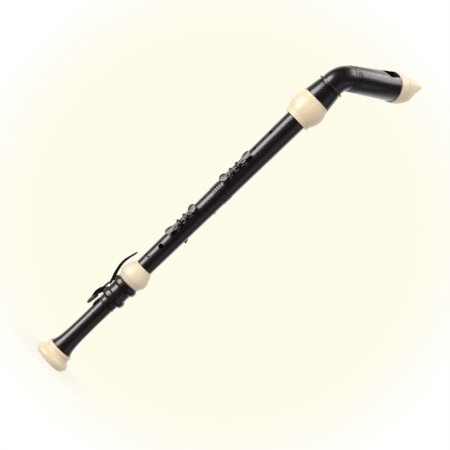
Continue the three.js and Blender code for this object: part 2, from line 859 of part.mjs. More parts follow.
function fippleBlock() {
  const radius = barrel.boreRadius - seat;
  const end = beakHollowEnd - seat;
  const start = barrelEnd - windowCut.bridge;
  const body = rod(radius, radius, start, end, bodySides);
  const far = radius + overrun;
  const above = turned([[windwayFloor, start - overrun], [far, start - overrun],
    [far, end + overrun], [windwayFloor, end + overrun]]);
  const channel = above.intersect(block(windway.width, 0, far, start - overrun, end + overrun));
  return meshOf("fipple_block", cut(body, [channel]), darkPlastic);
}

// Beak cap, in the head's own frame
function beakCap() {
  const bandEnd = beakStart + beak.bandLength;
  const coneStart = bandEnd + beak.grooveWidth;
  const taper = beak.coneRadius - beak.tipRadius;
  const bandMiddle = (beakStart + bandEnd) / 2;
  const band = beadPoints(beak.bandEdgeRadius, beak.bandRadius, bandMiddle, beak.bandLength);
  const cone = smooth(beakConeShares.map(([along, left]) =>
    [beak.tipRadius + taper * left, coneStart + (beakTip - beak.tipRound - coneStart) * along]),
  curveSteps.cone);
  const spigotRoom = beakStart + barrel.spigotLength;
  const outline = [
    [barrel.spigotRadius + seat, beakStart],
    ...band,
    [beak.coneRadius - beak.grooveDepth, bandEnd + beak.grooveWidth / 2],
    ...cone,
    [beak.tipRadius - beak.tipRound, beakTip],
    [0, beakTip],
    [0, beakHollowEnd],
    [barrel.boreRadius, beakHollowEnd],
    [barrel.boreRadius, spigotRoom],
    [barrel.spigotRadius + seat, spigotRoom],
  ];
  const cutters = [chinCutter(), crownCutter(coneStart), windwayCutter()];
  return meshOf("beak_cap", cut(turned(outline), cutters), ivory);
}

// The hollow under the chin, part of a wide drum that lies across the beak
function chinCutter() {
  const drop = Math.sqrt(beak.undercutRadius ** 2 - beak.undercutPastTip ** 2);
  const outward = beak.tipUnderside - drop;
  const along = beakTip + beak.undercutPastTip;
  return crossPin(beak.undercutRadius, beakDrumSpan, outward, along, chinSides);
}

// The slope on top, which brings the wide tip down to a thin edge
function crownCutter(coneStart) {
  const far = beak.coneRadius + overrun;
  const drop = beak.coneRadius - beak.crownTip;
  const slope = smooth(beakCrownShares.map(([along, up]) =>
    [coneStart + (beakTip - coneStart) * along, beak.crownTip + drop * up]), curveSteps.crown);
  const shape = new THREE.Shape([
    new THREE.Vector2(coneStart, far),
    ...slope.map(([along, outwards]) => new THREE.Vector2(along, outwards)),
    new THREE.Vector2(beakTip + overrun, beak.crownTip),
    new THREE.Vector2(beakTip + overrun, far),
  ]);
  return sidePlate(shape, far * 2);
}

// The rest of the windway, from the end of the block to the slit in the tip
function windwayCutter() {
  const start = beakHollowEnd - 2 * seat;
  const length = beakTip + seat - start;
  const tipFloor = (beak.tipUnderside + beak.crownTip - windway.height) / 2;
  const geometry = new THREE.BoxGeometry(windway.width, windway.height, length, curveSteps.windway, 1, 1);
  const places = geometry.attributes.position;
  for (let i = 0; i < places.count; i += 1) {
    const along = places.getZ(i) / length + 0.5;
    const side = places.getX(i);
    const sag = windwayFloor - Math.sqrt(windwayFloor ** 2 - side ** 2);
    const floor = windwayFloor + (tipFloor - windwayFloor) * along;
    const curve = sag * (1 + (windway.tipCurveShare - 1) * along);
    places.setXYZ(i, side, places.getY(i) - windway.height / 2 - floor + curve, start + length * along);
  }
  return solidOf(geometry);
}

// Lever parts, in the frame of their own pivot: +Z leads to the touch
function leverArm(middleLine, planPoints, steps) {
  const width = 2 * (middleKey.touchHalfWidth + overrun);
  const side = sidePlate(strip(middleLine, key.armThickness, steps), width);
  const reach = footKey.archHeight + overrun;
  const plan = planPlate(evenPlan(planPoints, steps), -reach, reach);
  return side.intersect(plan);
}

function hub() {
  return crossPin(key.hubRadius, key.hubWidth, 0, 0, smallSides);
}

function pinBore() {
  return crossPin(key.pinRadius + seat, key.hubWidth + overrun, 0, 0);
}

function touchLever(name, shape) {
  const nub = crossPin(key.nubRadius, key.armHalfWidth * 2, shape.nubOffset, -shape.innerArm);
  const arm = leverArm(shape.middleLine, shape.plan, shape.steps);
  return meshOf(name, cut(join([arm, nub, hub()]), [pinBore()]), keyPlastic);
}

function touchPlan(innerArm, centre, length, halfWidth) {
  const half = key.armHalfWidth;
  return [
    [-innerArm, half],
    [0, half],
    ...touchRootShares.map(([back, across]) =>
      [centre - halfWidth * back, Math.max(half, halfWidth * across)]),
    ...touchTipShares.map(([on, across]) => [centre + (length - centre) * on, halfWidth * across]),
  ];
}

// The cup and pad are drawn as they lie when closed and are then tipped back by half the swing
function cupSolid(shape) {
  const top = shape.padTop + seat;
  const outline = [
    [0, top],
    [shape.cupRadius - key.cupRimWidth, top],
    [shape.cupRadius - key.cupRimWidth, top - key.cupRimDepth],
    [shape.cupRadius, top - key.cupRimDepth],
    [shape.cupRadius, top + key.cupThickness / 2],
    [shape.cupRadius - key.cupThickness / 2, top + key.cupThickness],
    [0, top + key.cupThickness],
  ];
  return outward(turned(outline, cupSides), shape);
}

function padSolid(shape) {
  const radius = shape.cupRadius - key.cupRimWidth - seat;
  const bottom = shape.padTop - key.padThickness;
  return outward(rod(radius, radius, bottom, shape.padTop, cupSides), shape);
}

function outward(solid, shape) {
  const geometry = geometryOf(solid);
  geometry.rotateX(quarterTurn);
  geometry.translate(0, 0, -shape.reach);
  geometry.rotateX(-shape.swing / 2);
  return solidOf(geometry);
}

function padLever(name, shape) {
  const lowFace = shape.nubOffset + key.nubRadius + seat;
  const tongue = block(key.armHalfWidth * 2, lowFace, lowFace + key.tongueThickness,
    -key.hubRadius / 2, shape.innerArm + key.tongueOverlap);
  const webTop = lowFace + key.tongueThickness / 2;
  const web = block(key.armHalfWidth * 2, 0, webTop, -key.hubRadius / 2, key.hubRadius / 2);
  const cupTop = shape.padTop + seat + key.cupThickness / 2;
  const lift = shape.reach * Math.sin(shape.swing / 2);
  const arm = leverArm([
    [0, 0],
    [-shape.reach * padArmShares.bend, (cupTop + lift) * padArmShares.rise],
    [-shape.reach, cupTop + lift],
  ], [
    [0, key.armHalfWidth],
    [-shape.reach * padArmShares.straight, key.armHalfWidth],
    [-shape.reach - shape.cupRadius * padArmShares.pastCentre, key.armHalfWidth * padArmShares.tip],
  ], curveSteps.padArm);
  const solid = cut(join([arm, tongue, web, hub(), cupSolid(shape)]), [pinBore()]);
  return meshOf(name, solid, keyPlastic);
}

function spring(name, from, to) {
  const bow = [(from[0] + to[0]) / 2, (from[1] + to[1]) / 2 - key.springThickness];
  const shape = strip([from, bow, to], key.springThickness, curveSteps.spring);
  return meshOf(name, sidePlate(shape, key.springWidth), springSteel);
}

function pin(name, length) {
  return meshOf(name, crossPin(key.pinRadius, length, 0, 0), pinSteel);
}

function pivotGroup(outwardPlace, height, tilt, meshes) {
  const group = new THREE.Group();
  group.position.set(0, -outwardPlace, height);
  group.rotation.x = tilt;
  group.add(...meshes);
  return group;
}

// A key's frame: its origin lies on the bore's axis at the height where the levers meet
function keyFrame(height, angle, reversed) {
  const atAngle = new THREE.Group();
  atAngle.position.z = height;
  atAngle.rotation.z = angle;
  const facing = new THREE.Group();
  facing.rotation.y = reversed ? halfTurn : 0;
  atAngle.add(facing);
  return { atAngle, facing };
}

function saddlePlate(place, pivotRadius) {
  const direction = place.reversed ? -1 : 1;
  const low = -middleKey.padInnerArm - saddle.pastPivot;
  const high = middleKey.touchInnerArm + saddle.pastPivot;
  const radiusAt = (z) => middleRadiusAt(place.height + direction * z) + seat;
  const shell = turned([
    [radiusAt(low), low],
    [radiusAt(low) + saddle.thickness, low],
    [radiusAt(high) + saddle.thickness, high],
    [radiusAt(high), high],
  ], bodySides);
  const corner = saddle.cornerRadius;
  const plan = new THREE.Shape();
  plan.moveTo(-saddle.halfWidth + corner, low);
  plan.lineTo(saddle.halfWidth - corner, low);
  plan.quadraticCurveTo(saddle.halfWidth, low, saddle.halfWidth, low + corner);
  plan.lineTo(saddle.halfWidth, high - corner);
  plan.quadraticCurveTo(saddle.halfWidth, high, saddle.halfWidth - corner, high);
  plan.lineTo(-saddle.halfWidth + corner, high);
  plan.quadraticCurveTo(-saddle.halfWidth, high, -saddle.halfWidth, high - corner);
  plan.lineTo(-saddle.halfWidth, low + corner);
  plan.quadraticCurveTo(-saddle.halfWidth, low, -saddle.halfWidth + corner, low);
  const plate = shell.intersect(planPlate(plan, 0, pivotRadius, curveSteps.corner));
  const foot = radiusAt(0) + saddle.thickness / 2;
  const earSide = key.hubWidth / 2 + seat + key.earThickness / 2;
  const pivots = [-middleKey.padInnerArm, middleKey.touchInnerArm];
  const ears = pivots.flatMap((z) => [-1, 1].map((side) => ear(z, side * earSide, foot, pivotRadius)));
  const holeSpan = 2 * (saddle.halfWidth + overrun);
  const holes = pivots.map((z) => crossPin(key.pinRadius + seat, holeSpan, pivotRadius, z));
  return cut(join([plate, ...ears]), holes);
}

function ear(height, side, near, pivotRadius) {
  const shape = new THREE.Shape();
  const radius = key.earRadius;
  shape.moveTo(height + radius * earFootShare, near);
  shape.lineTo(height + radius, pivotRadius);
  shape.absarc(height, pivotRadius, radius, 0, halfTurn, false);
  shape.lineTo(height - radius * earFootShare, near);
  const geometry = geometryOf(sidePlate(shape, key.earThickness));
  geometry.translate(side, 0, 0);
  return solidOf(geometry);
}

function middleKeyGroup(place) {
  const { atAngle, facing } = keyFrame(place.height, place.angle, place.reversed);
  const pivotRadius = middleRadiusAt(place.height) + middleKey.pivotRise;
  const padBody = middleRadiusAt(padHeightOf(place));
  const swing = Math.asin(middleKey.padLift / middleKey.padReach);
  const pad = {
    reach: middleKey.padReach,
    cupRadius: middleKey.cupRadius,
    innerArm: middleKey.padInnerArm,
    nubOffset: middleKey.nubOffset,
    padTop: padBody + key.seatRise + seat + key.padThickness - pivotRadius,
    swing,
  };
  const touch = {
    innerArm: middleKey.touchInnerArm,
    nubOffset: middleKey.nubOffset,
    middleLine: [
      [-middleKey.touchInnerArm, middleKey.nubOffset],
      [-middleKey.touchInnerArm * touchRootDipShares.along, middleKey.nubOffset * touchRootDipShares.offset],
      [0, 0],
      [middleKey.touchCentre / 2, middleKey.touchDrop],
      [middleKey.touchCentre, 0],
      [middleKey.touchLength, middleKey.touchDrop],
    ],
    plan: touchPlan(
      middleKey.touchInnerArm, middleKey.touchCentre, middleKey.touchLength, middleKey.touchHalfWidth),
    steps: curveSteps.touch,
  };
  const pinLength = key.hubWidth + 2 * (seat + key.earThickness) + seat;
  const saddleTop = saddle.thickness + seat - middleKey.pivotRise;
  const springTop = [key.hubRadius + seat, -key.armThickness / 2];
  const springFoot = [saddle.pastPivot - key.armThickness, saddleTop + seat + key.springThickness];
  const plate = meshOf(`${place.name}_key_saddle`, saddlePlate(place, pivotRadius), keyPlastic);
  facing.add(plate);
  facing.add(pivotGroup(pivotRadius, -middleKey.padInnerArm, -swing / 2, [
    padLever(`${place.name}_pad_lever`, pad),
    meshOf(`${place.name}_pad`, padSolid(pad), padSkin),
  ]));
  facing.add(pivotGroup(pivotRadius, middleKey.touchInnerArm, swing / 2, [
    touchLever(`${place.name}_touch_lever`, touch),
  ]));
  facing.add(pivotGroup(pivotRadius, -middleKey.padInnerArm, 0, [
    pin(`${place.name}_pad_pin`, pinLength),
    spring(`${place.name}_pad_spring`, [-springTop[0], springTop[1]], [-springFoot[0], springFoot[1]]),
  ]));
  facing.add(pivotGroup(pivotRadius, middleKey.touchInnerArm, 0, [
    pin(`${place.name}_touch_pin`, pinLength),
    spring(`${place.name}_touch_spring`, springTop, springFoot),
  ]));
  return atAngle;
}

function footKeyGroup() {
  const { atAngle, facing } = keyFrame(footKey.contactHeight, footKey.angle, false);
  const padPivot = foot.lowerBeadHeight - footKey.contactHeight;
  const touchPivot = foot.upperBeadHeight - footKey.contactHeight;
  const padSwing = Math.asin(footKey.padLift / footKey.padReach);
  const touchSwing = Math.asin((Math.sin(padSwing) * -padPivot) / touchPivot);
  const pad = {
    reach: footKey.padReach,
    cupRadius: footKey.cupRadius,
    innerArm: -padPivot,
    nubOffset: footKey.nubOffset,
    padTop: foot.neckRadius + key.seatRise + seat + key.padThickness - footKey.pivotRadius,
    swing: padSwing,
  };
  const touch = {
    innerArm: touchPivot,
    nubOffset: footKey.nubOffset,
    middleLine: [
      [-touchPivot, footKey.nubOffset],
      [-touchPivot / 2, 0],
      [0, 0],
      ...footArchShares.map(([along, up]) => [footKey.touchLength * along, footKey.archHeight * up]),
      [footKey.touchLength, footKey.archEnd],
    ],
    plan: touchPlan(touchPivot, footKey.touchCentre, footKey.touchLength, footKey.touchHalfWidth),
    steps: curveSteps.longTouch,
  };
  facing.add(pivotGroup(footKey.pivotRadius, padPivot, -padSwing / 2, [
    padLever("foot_pad_lever", pad),
    meshOf("foot_pad", padSolid(pad), padSkin),
  ]));
  facing.add(pivotGroup(footKey.pivotRadius, touchPivot, touchSwing / 2, [
    touchLever("foot_touch_lever", touch),
  ]));
  const springTop = [-key.hubRadius - seat, -key.armThickness / 2];
  const springFoot = [
    foot.coveTop - foot.lowerBeadHeight - key.armThickness,
    foot.coveRadius + seat + key.springThickness - footKey.pivotRadius,
  ];
  facing.add(pivotGroup(footKey.pivotRadius, padPivot, 0, [
    pin("foot_pad_pin", footKey.pinLength),
    spring("foot_pad_spring", springTop, springFoot),
  ]));
  facing.add(pivotGroup(footKey.pivotRadius, touchPivot, 0, [pin("foot_touch_pin", footKey.pinLength)]));
  return atAngle;
}

// Thumb rest and strap eye, drawn at the front and turned to the back
function thumbRestMesh() {
  const low = thumbRest.height - thumbRest.plateLength / 2;
  const high = thumbRest.height + thumbRest.plateLength / 2;
  const inner = (z) => middleRadiusAt(z) + seat;
  const shell = turned([
    [inner(low), low],
    [inner(low) + thumbRest.plateThickness, low],
    [inner(high) + thumbRest.plateThickness, high],
    [inner(high), high],
  ], bodySides);
  const far = middle.topRadius + overrun;
  const plate = shell.intersect(block(thumbRest.plateHalfWidth * 2, 0, far, low, high));
  const near = inner(thumbRest.height) + thumbRest.plateThickness / 2;
  const hookLine = hookShares.map(([down, out]) =>
    [thumbRest.height - thumbRest.hookDrop * down, near + thumbRest.hookReach * out]);
  const hook = strip(hookLine, thumbRest.hookThickness, curveSteps.hook);
  const solid = join([plate, sidePlate(hook, thumbRest.hookHalfWidth * 2)]);
  return meshOf("thumb_rest", turnAboutAxis(solid, halfTurn), keyPlastic);
}

function strapEyeMesh() {
  const base = middleRadiusAt(strapEye.height) + seat;
  const stem = drill(strapEye.stemRadius, base, base + strapEye.stemLength, strapEye.height, 0, smallSides);
  const loop = new THREE.TorusGeometry(strapEye.ringRadius, strapEye.wireRadius, wireSides, smallSides);
  loop.rotateY(quarterTurn);
  loop.translate(0, -(base + strapEye.stemLength + strapEye.ringRadius), strapEye.height);
  return meshOf("strap_eye", turnAboutAxis(join([stem, solidOf(loop)]), halfTurn), pinSteel);
}

// Assembly
const recorder = new THREE.Group();
recorder.add(bellRing(), footJoint(), footSocketRing(), middleJoint());
recorder.add(corkSleeve("lower_tenon_cork", middle.height, lowerTenon.length, -1, lowerTenon.corkRadius));
recorder.add(corkSleeve(
  "upper_tenon_cork", middle.shoulderHeight, upperTenon.length, 1, upperTenon.corkRadius));
recorder.add(headSocketRing(), headSleeve(), neckElbow());
recorder.add(corkSleeve(
  "neck_tenon_cork", neckBottom + seat, neck.lowerTenonLength, -1, neck.lowerTenonCorkRadius));
recorder.add(thumbRestMesh(), strapEyeMesh());
recorder.add(middleKeyGroup(upperKeyPlace), middleKeyGroup(lowerKeyPlace), footKeyGroup());

const head = new THREE.Group();
head.position.z = neck.vertexHeight;
head.rotation.x = -neck.bendAngle;
head.add(corkSleeve(
  "head_tenon_cork", neck.outletLength - seat, neck.upperTenonLength, 1, neck.upperTenonCorkRadius));

head.add(headBarrel(), fippleBlock(), beakCap());
recorder.add(head);

export default recorder;
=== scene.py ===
# %% [markdown]
# # A bass recorder, dressed over its CAD frame
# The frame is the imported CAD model, in metres and in its own place. This notebook puts the
# camera where the photograph was taken from, lights the recorder, mixes a finish for each
# material, and then models every visible part again with smooth curves, as a turner would:
# first the tubes and rings, then the bent neck and the head, then the keys.

# %% Load the frame
import json
import math

import bmesh
import bpy
from mathutils import Matrix, Vector


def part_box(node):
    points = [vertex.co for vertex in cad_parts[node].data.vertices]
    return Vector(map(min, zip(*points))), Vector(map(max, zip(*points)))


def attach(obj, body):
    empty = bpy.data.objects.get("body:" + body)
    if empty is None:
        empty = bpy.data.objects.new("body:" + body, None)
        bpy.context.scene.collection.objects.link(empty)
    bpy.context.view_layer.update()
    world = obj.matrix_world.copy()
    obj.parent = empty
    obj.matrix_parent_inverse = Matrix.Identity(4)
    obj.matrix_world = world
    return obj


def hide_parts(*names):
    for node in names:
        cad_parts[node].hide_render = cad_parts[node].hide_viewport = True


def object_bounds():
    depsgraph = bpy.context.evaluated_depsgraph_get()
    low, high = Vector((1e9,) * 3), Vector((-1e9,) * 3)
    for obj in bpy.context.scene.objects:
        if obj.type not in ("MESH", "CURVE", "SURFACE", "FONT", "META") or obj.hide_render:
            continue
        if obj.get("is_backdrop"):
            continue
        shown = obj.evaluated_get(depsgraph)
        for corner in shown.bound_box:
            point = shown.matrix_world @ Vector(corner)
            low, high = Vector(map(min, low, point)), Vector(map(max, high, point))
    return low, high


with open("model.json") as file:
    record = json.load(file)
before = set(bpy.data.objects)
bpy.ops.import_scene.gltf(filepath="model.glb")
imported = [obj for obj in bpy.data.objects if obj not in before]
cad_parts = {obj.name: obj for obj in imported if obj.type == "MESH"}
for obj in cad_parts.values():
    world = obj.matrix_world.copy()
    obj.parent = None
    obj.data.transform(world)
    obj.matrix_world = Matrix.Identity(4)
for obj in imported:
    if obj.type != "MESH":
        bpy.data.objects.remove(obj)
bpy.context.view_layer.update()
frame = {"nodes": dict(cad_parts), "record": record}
mm = 0.001

# %% [markdown]
# ## Camera
# The recorder stands upright in the frame, but the photograph shows it lying across the picture
# from lower left to upper right. So it is the camera that is rolled, by about 46 degrees. It
# stands on the player's left, a little above the middle, about 2.7 metres away. A narrow lens
# angle of 17 degrees gives the mild perspective of the photograph.

# %% Set the camera
camera_place = Vector((1.72444, -2.02013, 0.50744))
camera_back = Vector((0.63547, -0.77089, 0.04362))
picture_right = Vector((0.51706, 0.46683, 0.71744))
picture_up = Vector((-0.57343, -0.43336, 0.69525))
lens_degrees = 17

camera_data = bpy.data.cameras.new("photo_camera")
camera_data.sensor_width = 36
camera_data.angle = math.radians(lens_degrees)
camera_data.clip_end = 50
camera = bpy.data.objects.new("photo_camera", camera_data)
bpy.context.scene.collection.objects.link(camera)
axes = Matrix((picture_right, picture_up, camera_back)).transposed()
camera.matrix_world = Matrix.Translation(camera_place) @ axes.to_4x4()
bpy.context.scene.camera = camera
bpy.context.scene.view_settings.view_transform = "Standard"
print("lens", round(camera_data.lens, 1), "mm,", round(camera_place.length, 2), "m from the bell")

# %% [markdown]
# ## Background
# The photograph has a plain ground, cream round the recorder and white in the corners. The world
# shows those colours to the camera. In reflections it shows them only behind the recorder, as in
# a studio where the lit paper hangs at the back and the rest of the room is dark: a dark gloss
# surface that reflected a white room would look grey. Matt surfaces get an even soft light.

# %% Node helpers
def add_node(tree, kind, place, **values):
    """Adds a node and sets the values of its unlinked sockets by name."""
    node = tree.nodes.new(kind)
    node.location = place
    for name, value in values.items():
        node.inputs[name.replace("_", " ")].default_value = value
    return node


def add_math(tree, place, operation, first, second):
    """A Math node whose inputs are sockets or plain numbers."""
    node = add_node(tree, "ShaderNodeMath", place)
    node.operation = operation
    for socket, value in zip(node.inputs, (first, second)):
        if isinstance(value, (int, float)):
            socket.default_value = value
        else:
            tree.links.new(value, socket)
    return node.outputs["Value"]


def map_span(tree, place, value, from_low, from_high, to_low, to_high):
    """Maps one span of values on to another and stops at its ends."""
    span = add_node(tree, "ShaderNodeMapRange", place)
    tree.links.new(value, span.inputs["Value"])
    ends = {"From Min": from_low, "From Max": from_high, "To Min": to_low, "To Max": to_high}
    for name, end in ends.items():
        span.inputs[name].default_value = end
    return span.outputs["Result"]


def color_between(tree, factor, first, second, low=0.35, high=0.65):
    """A colour that runs from the first to the second while the factor goes from low to high."""
    ramp = add_node(tree, "ShaderNodeValToRGB", (-500, 0))
    for element, position, tint in zip(ramp.color_ramp.elements, (low, high), (first, second)):
        element.position = position
        element.color = (*tint, 1)
    tree.links.new(factor, ramp.inputs["Fac"])
    return ramp.outputs["Color"]


def mix_shaders(tree, place, factor, first, second):
    """Two shaders in one: the first where the factor is 0 and the second where it is 1."""
    mix = add_node(tree, "ShaderNodeMixShader", place)
    for socket, value in zip(mix.inputs, (factor, first, second)):
        tree.links.new(value, socket)
    return mix.outputs["Shader"]


# %% World
white, cream = (1, 1, 1), (0.991, 0.965, 0.807)
white_until, cream_from = 0.9855, 0.9915
paper_edge, paper_middle = 0.3, 0.85
room_light = 0.52
room_reflection = 0.015

world = bpy.data.worlds.new("cream_ground")
bpy.context.scene.world = world
world.use_nodes = True
tree = world.node_tree
tree.nodes.clear()
direction = add_node(tree, "ShaderNodeTexCoord", (-1100, 0))
facing = add_node(tree, "ShaderNodeVectorMath", (-900, 0))
facing.operation = "DOT_PRODUCT"
facing.inputs[1].default_value = -camera_back
tree.links.new(direction.outputs["Generated"], facing.inputs[0])
paper = color_between(tree, facing.outputs["Value"], white, cream, white_until, cream_from)
paper_glow = map_span(
    tree, (-600, -300), facing.outputs["Value"], paper_edge, paper_middle, room_reflection, 1.0)
rays = add_node(tree, "ShaderNodeLightPath", (-900, 500))
seen_share = add_math(tree, (-600, 450), "MAXIMUM",
                      rays.outputs["Is Camera Ray"], rays.outputs["Is Transmission Ray"])
seen = add_node(tree, "ShaderNodeBackground", (-250, 200), Strength=1.0)
mirrored = add_node(tree, "ShaderNodeBackground", (-250, 0))
soft_light = add_node(tree, "ShaderNodeBackground", (-250, -200), Color=(1, 0.985, 0.96, 1))
soft_light.inputs["Strength"].default_value = room_light
tree.links.new(paper, seen.inputs["Color"])
tree.links.new(paper, mirrored.inputs["Color"])
tree.links.new(paper_glow, mirrored.inputs["Strength"])
room = mix_shaders(tree, (0, -50), rays.outputs["Is Glossy Ray"],
                   soft_light.outputs["Background"], mirrored.outputs["Background"])
shown = mix_shaders(tree, (200, 50), seen_share, room, seen.outputs["Background"])
ground = add_node(tree, "ShaderNodeOutputWorld", (400, 0))
tree.links.new(shown, ground.inputs["Surface"])
print("room light", room_light, "and", room_reflection, "of it mirrored beside the paper")

# %% [markdown]
# ## Lamps
# A tall card of light in front, on the left, draws the pale streak that runs down the whole tube.
# It lights reflections alone, so it doesn't bleach the ivory. The ivory gets its light from a
# wide lamp near the camera, which stays out of reflections. One lamp could do both, but then the
# streak and the ivory couldn't be balanced one by one. A weak pinkish lamp on the right lifts the
# far side, and one overhead gives the leaning head its broad pale top.

# %% Lamps
def soft_box(name, place, target, width, height, power, color=(1, 0.97, 0.93)):
    """A rectangular lamp that faces its target, with its height upright."""
    data = bpy.data.lights.new(name, "AREA")
    data.shape = "RECTANGLE"
    data.size = width
    data.size_y = height
    data.energy = power
    data.color = color
    lamp = bpy.data.objects.new(name, data)
    bpy.context.scene.collection.objects.link(lamp)
    lamp.location = place
    lamp.rotation_mode = "QUATERNION"
    lamp.rotation_quaternion = (Vector(target) - Vector(place)).to_track_quat("-Z", "Y")
    return lamp


def round_the_tube(azimuth, distance, height):
    """A place round the recorder: azimuth 0 is straight in front, 90 on the +X side."""
    turn = math.radians(azimuth)
    return (math.sin(turn) * distance, -math.cos(turn) * distance, height)


lower_tube, tube_middle, head_top = (0, 0, 0.35), (0, 0, 0.45), (0, 0.05, 0.75)
behind_head = (0.05, 0.5, 2.25)
pinkish = (1, 0.87, 0.94)
streak_card = soft_box(
    "streak_card", round_the_tube(-23, 1.6, 0.3), lower_tube, width=0.95, height=2.0, power=38)
streak_card.visible_diffuse = False
front_soft = soft_box(
    "front_soft", round_the_tube(-8, 2.4, 0.9), tube_middle, width=1.6, height=1.8, power=44)
front_soft.visible_glossy = False
right_fill = soft_box(
    "right_fill", round_the_tube(108, 2.0, 0.5), tube_middle, width=2.0, height=2.0, power=3.4,
    color=pinkish)
overhead = soft_box("overhead", behind_head, head_top, width=1.4, height=1.0, power=13)
for lamp in (streak_card, front_soft, right_fill, overhead):
    print(lamp.name, lamp.data.energy, "W")

# %% [markdown]
# ## Floor
# The photograph shows no floor line, so the floor is a small disc that fades out to nothing. It
# only holds the shadow under the bell.

# %% Floor
floor_radius = 0.6
shadow_full, shadow_gone, shadow_strength = 0.02, 0.11, 0.3
bpy.ops.object.select_all(action="DESELECT")
bpy.ops.mesh.primitive_circle_add(
    vertices=96, radius=floor_radius, fill_type="NGON", location=(0, 0, 0))
floor = bpy.context.object
floor.name = "floor"
floor_finish = bpy.data.materials.new("pale_floor")
floor_finish.use_nodes = True
tree = floor_finish.node_tree
tree.nodes.clear()
place = add_node(tree, "ShaderNodeTexCoord", (-900, 0))
distance = add_node(tree, "ShaderNodeVectorMath", (-700, 0))
distance.operation = "LENGTH"
tree.links.new(place.outputs["Object"], distance.inputs[0])
fade = map_span(
    tree, (-500, 0), distance.outputs["Value"], shadow_full, shadow_gone, shadow_strength, 0)
clear = add_node(tree, "ShaderNodeBsdfTransparent", (-300, 100))
matte = add_node(tree, "ShaderNodeBsdfDiffuse", (-300, -100), Color=(0.95, 0.93, 0.82, 1))
blend = mix_shaders(tree, (0, 0), fade, clear.outputs["BSDF"], matte.outputs["BSDF"])
out = add_node(tree, "ShaderNodeOutputMaterial", (200, 0))
tree.links.new(blend, out.inputs["Surface"])
floor.data.materials.append(floor_finish)
floor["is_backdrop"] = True
print("the floor's shadow ends", shadow_gone, "m from the bore")

# %% [markdown]
# ## Finishes
# The tube is moulded resin: a brown-black body colour under a satin gloss. Close to, such resin
# has faint clouds in its colour, a skin with a very slight orange peel, and smears from hands
# that change its gloss. A picture could be wrapped round it, but noise at the size of the real
# marks needs no seams, and on Object coordinates it stays on the part. The polished skin is the
# shader's coat over the darker body. The rings are ivory-coloured resin, warm and even, with
# fine streaks along the grain.

# %% Finish helpers
def new_finish(name, roughness, metallic=0.0, specular=0.5):
    """A material with a Principled shader and the coordinates of its object."""
    finish = bpy.data.materials.new(name)
    finish.use_nodes = True
    tree = finish.node_tree
    shader = tree.nodes["Principled BSDF"]
    shader.inputs["Roughness"].default_value = roughness
    shader.inputs["Metallic"].default_value = metallic
    shader.inputs["Specular IOR Level"].default_value = specular
    place = add_node(tree, "ShaderNodeTexCoord", (-1200, 0))
    return finish, tree, shader, place.outputs["Object"]


def noise_at(tree, coordinates, size, stretch=(1, 1, 1), detail=3.0):
    """Noise whose features are about size metres wide, longer where stretch is small."""
    mapping = add_node(tree, "ShaderNodeMapping", (-1000, 0), Scale=stretch)
    noise = add_node(tree, "ShaderNodeTexNoise", (-800, 0), Scale=1 / size, Detail=detail)
    tree.links.new(coordinates, mapping.inputs["Vector"])
    tree.links.new(mapping.outputs["Vector"], noise.inputs["Vector"])
    return noise.outputs["Fac"]


def add_bump(tree, shader, factor, depth, strength=1.0):
    """Small hills and dents, depth metres deep, in the light on the surface."""
    bump = add_node(tree, "ShaderNodeBump", (-250, -400), Strength=strength, Distance=depth)
    tree.links.new(factor, bump.inputs["Height"])
    tree.links.new(bump.outputs["Normal"], shader.inputs["Normal"])


def vary_gloss(tree, shader, marks, low, high):
    """Lets the roughness go from low to high with the marks."""
    rough = map_span(tree, (-500, -200), marks, 0.3, 0.7, low, high)
    tree.links.new(rough, shader.inputs["Roughness"])


# %% Dark resin
cloud_size, smear_size, peel_size = 0.03, 0.012, 0.004
peel_depth, peel_strength = 0.000004, 0.3
coat_roughness, coat_ior = 0.24, 1.6


def resin_finish(name, dark, light, gloss, specular, coat):
    """Moulded resin: clouds in the colour, smears in the gloss and a slight orange peel."""
    finish, tree, shader, place = new_finish(name, gloss[0], specular=specular)
    clouds = noise_at(tree, place, cloud_size, detail=5)
    tree.links.new(color_between(tree, clouds, dark, light), shader.inputs["Base Color"])
    vary_gloss(tree, shader, noise_at(tree, place, smear_size, stretch=(1, 1, 0.4), detail=2), *gloss)
    add_bump(tree, shader, noise_at(tree, place, peel_size, detail=2), peel_depth, peel_strength)
    shader.inputs["Coat Weight"].default_value = coat
    shader.inputs["Coat Roughness"].default_value = coat_roughness
    shader.inputs["Coat IOR"].default_value = coat_ior
    print(name, "from", dark, "to", light)
    return finish


tube_resin = resin_finish("tube_resin", (0.0056, 0.0029, 0.0033), (0.0092, 0.0054, 0.0060),
                          gloss=(0.33, 0.39), specular=0.45, coat=1.0)
key_resin = resin_finish("key_resin", (0.006, 0.005, 0.006), (0.010, 0.0085, 0.010),
                         gloss=(0.16, 0.24), specular=0.5, coat=0.4)


# %% Ivory resin
def ivory_finish(dark, light):
    """Imitation ivory: long faint streaks in a cream body, and smears in its gloss."""
    finish, tree, shader, place = new_finish("ivory_resin", 0.3, specular=0.7)
    streaks = noise_at(tree, place, 0.004, stretch=(1, 1, 0.06), detail=4)
    tree.links.new(color_between(tree, streaks, dark, light), shader.inputs["Base Color"])
    vary_gloss(tree, shader, noise_at(tree, place, smear_size, detail=2), 0.30, 0.35)
    print("ivory from", dark, "to", light)
    return finish


ivory_resin = ivory_finish((0.90, 0.745, 0.52), (0.94, 0.795, 0.575))

# %% [markdown]
# ## Cork, skin and steel
# The tenons are wrapped in cork, which is made of cells about a millimetre and a half wide. So
# its pattern is a cell texture and no cloud. The pads under the cups are covered with thin skin.
# The springs are blued steel, and the pins and the strap eye are plain drawn steel, with fine
# lines along the wire, which are noise stretched far along one axis.

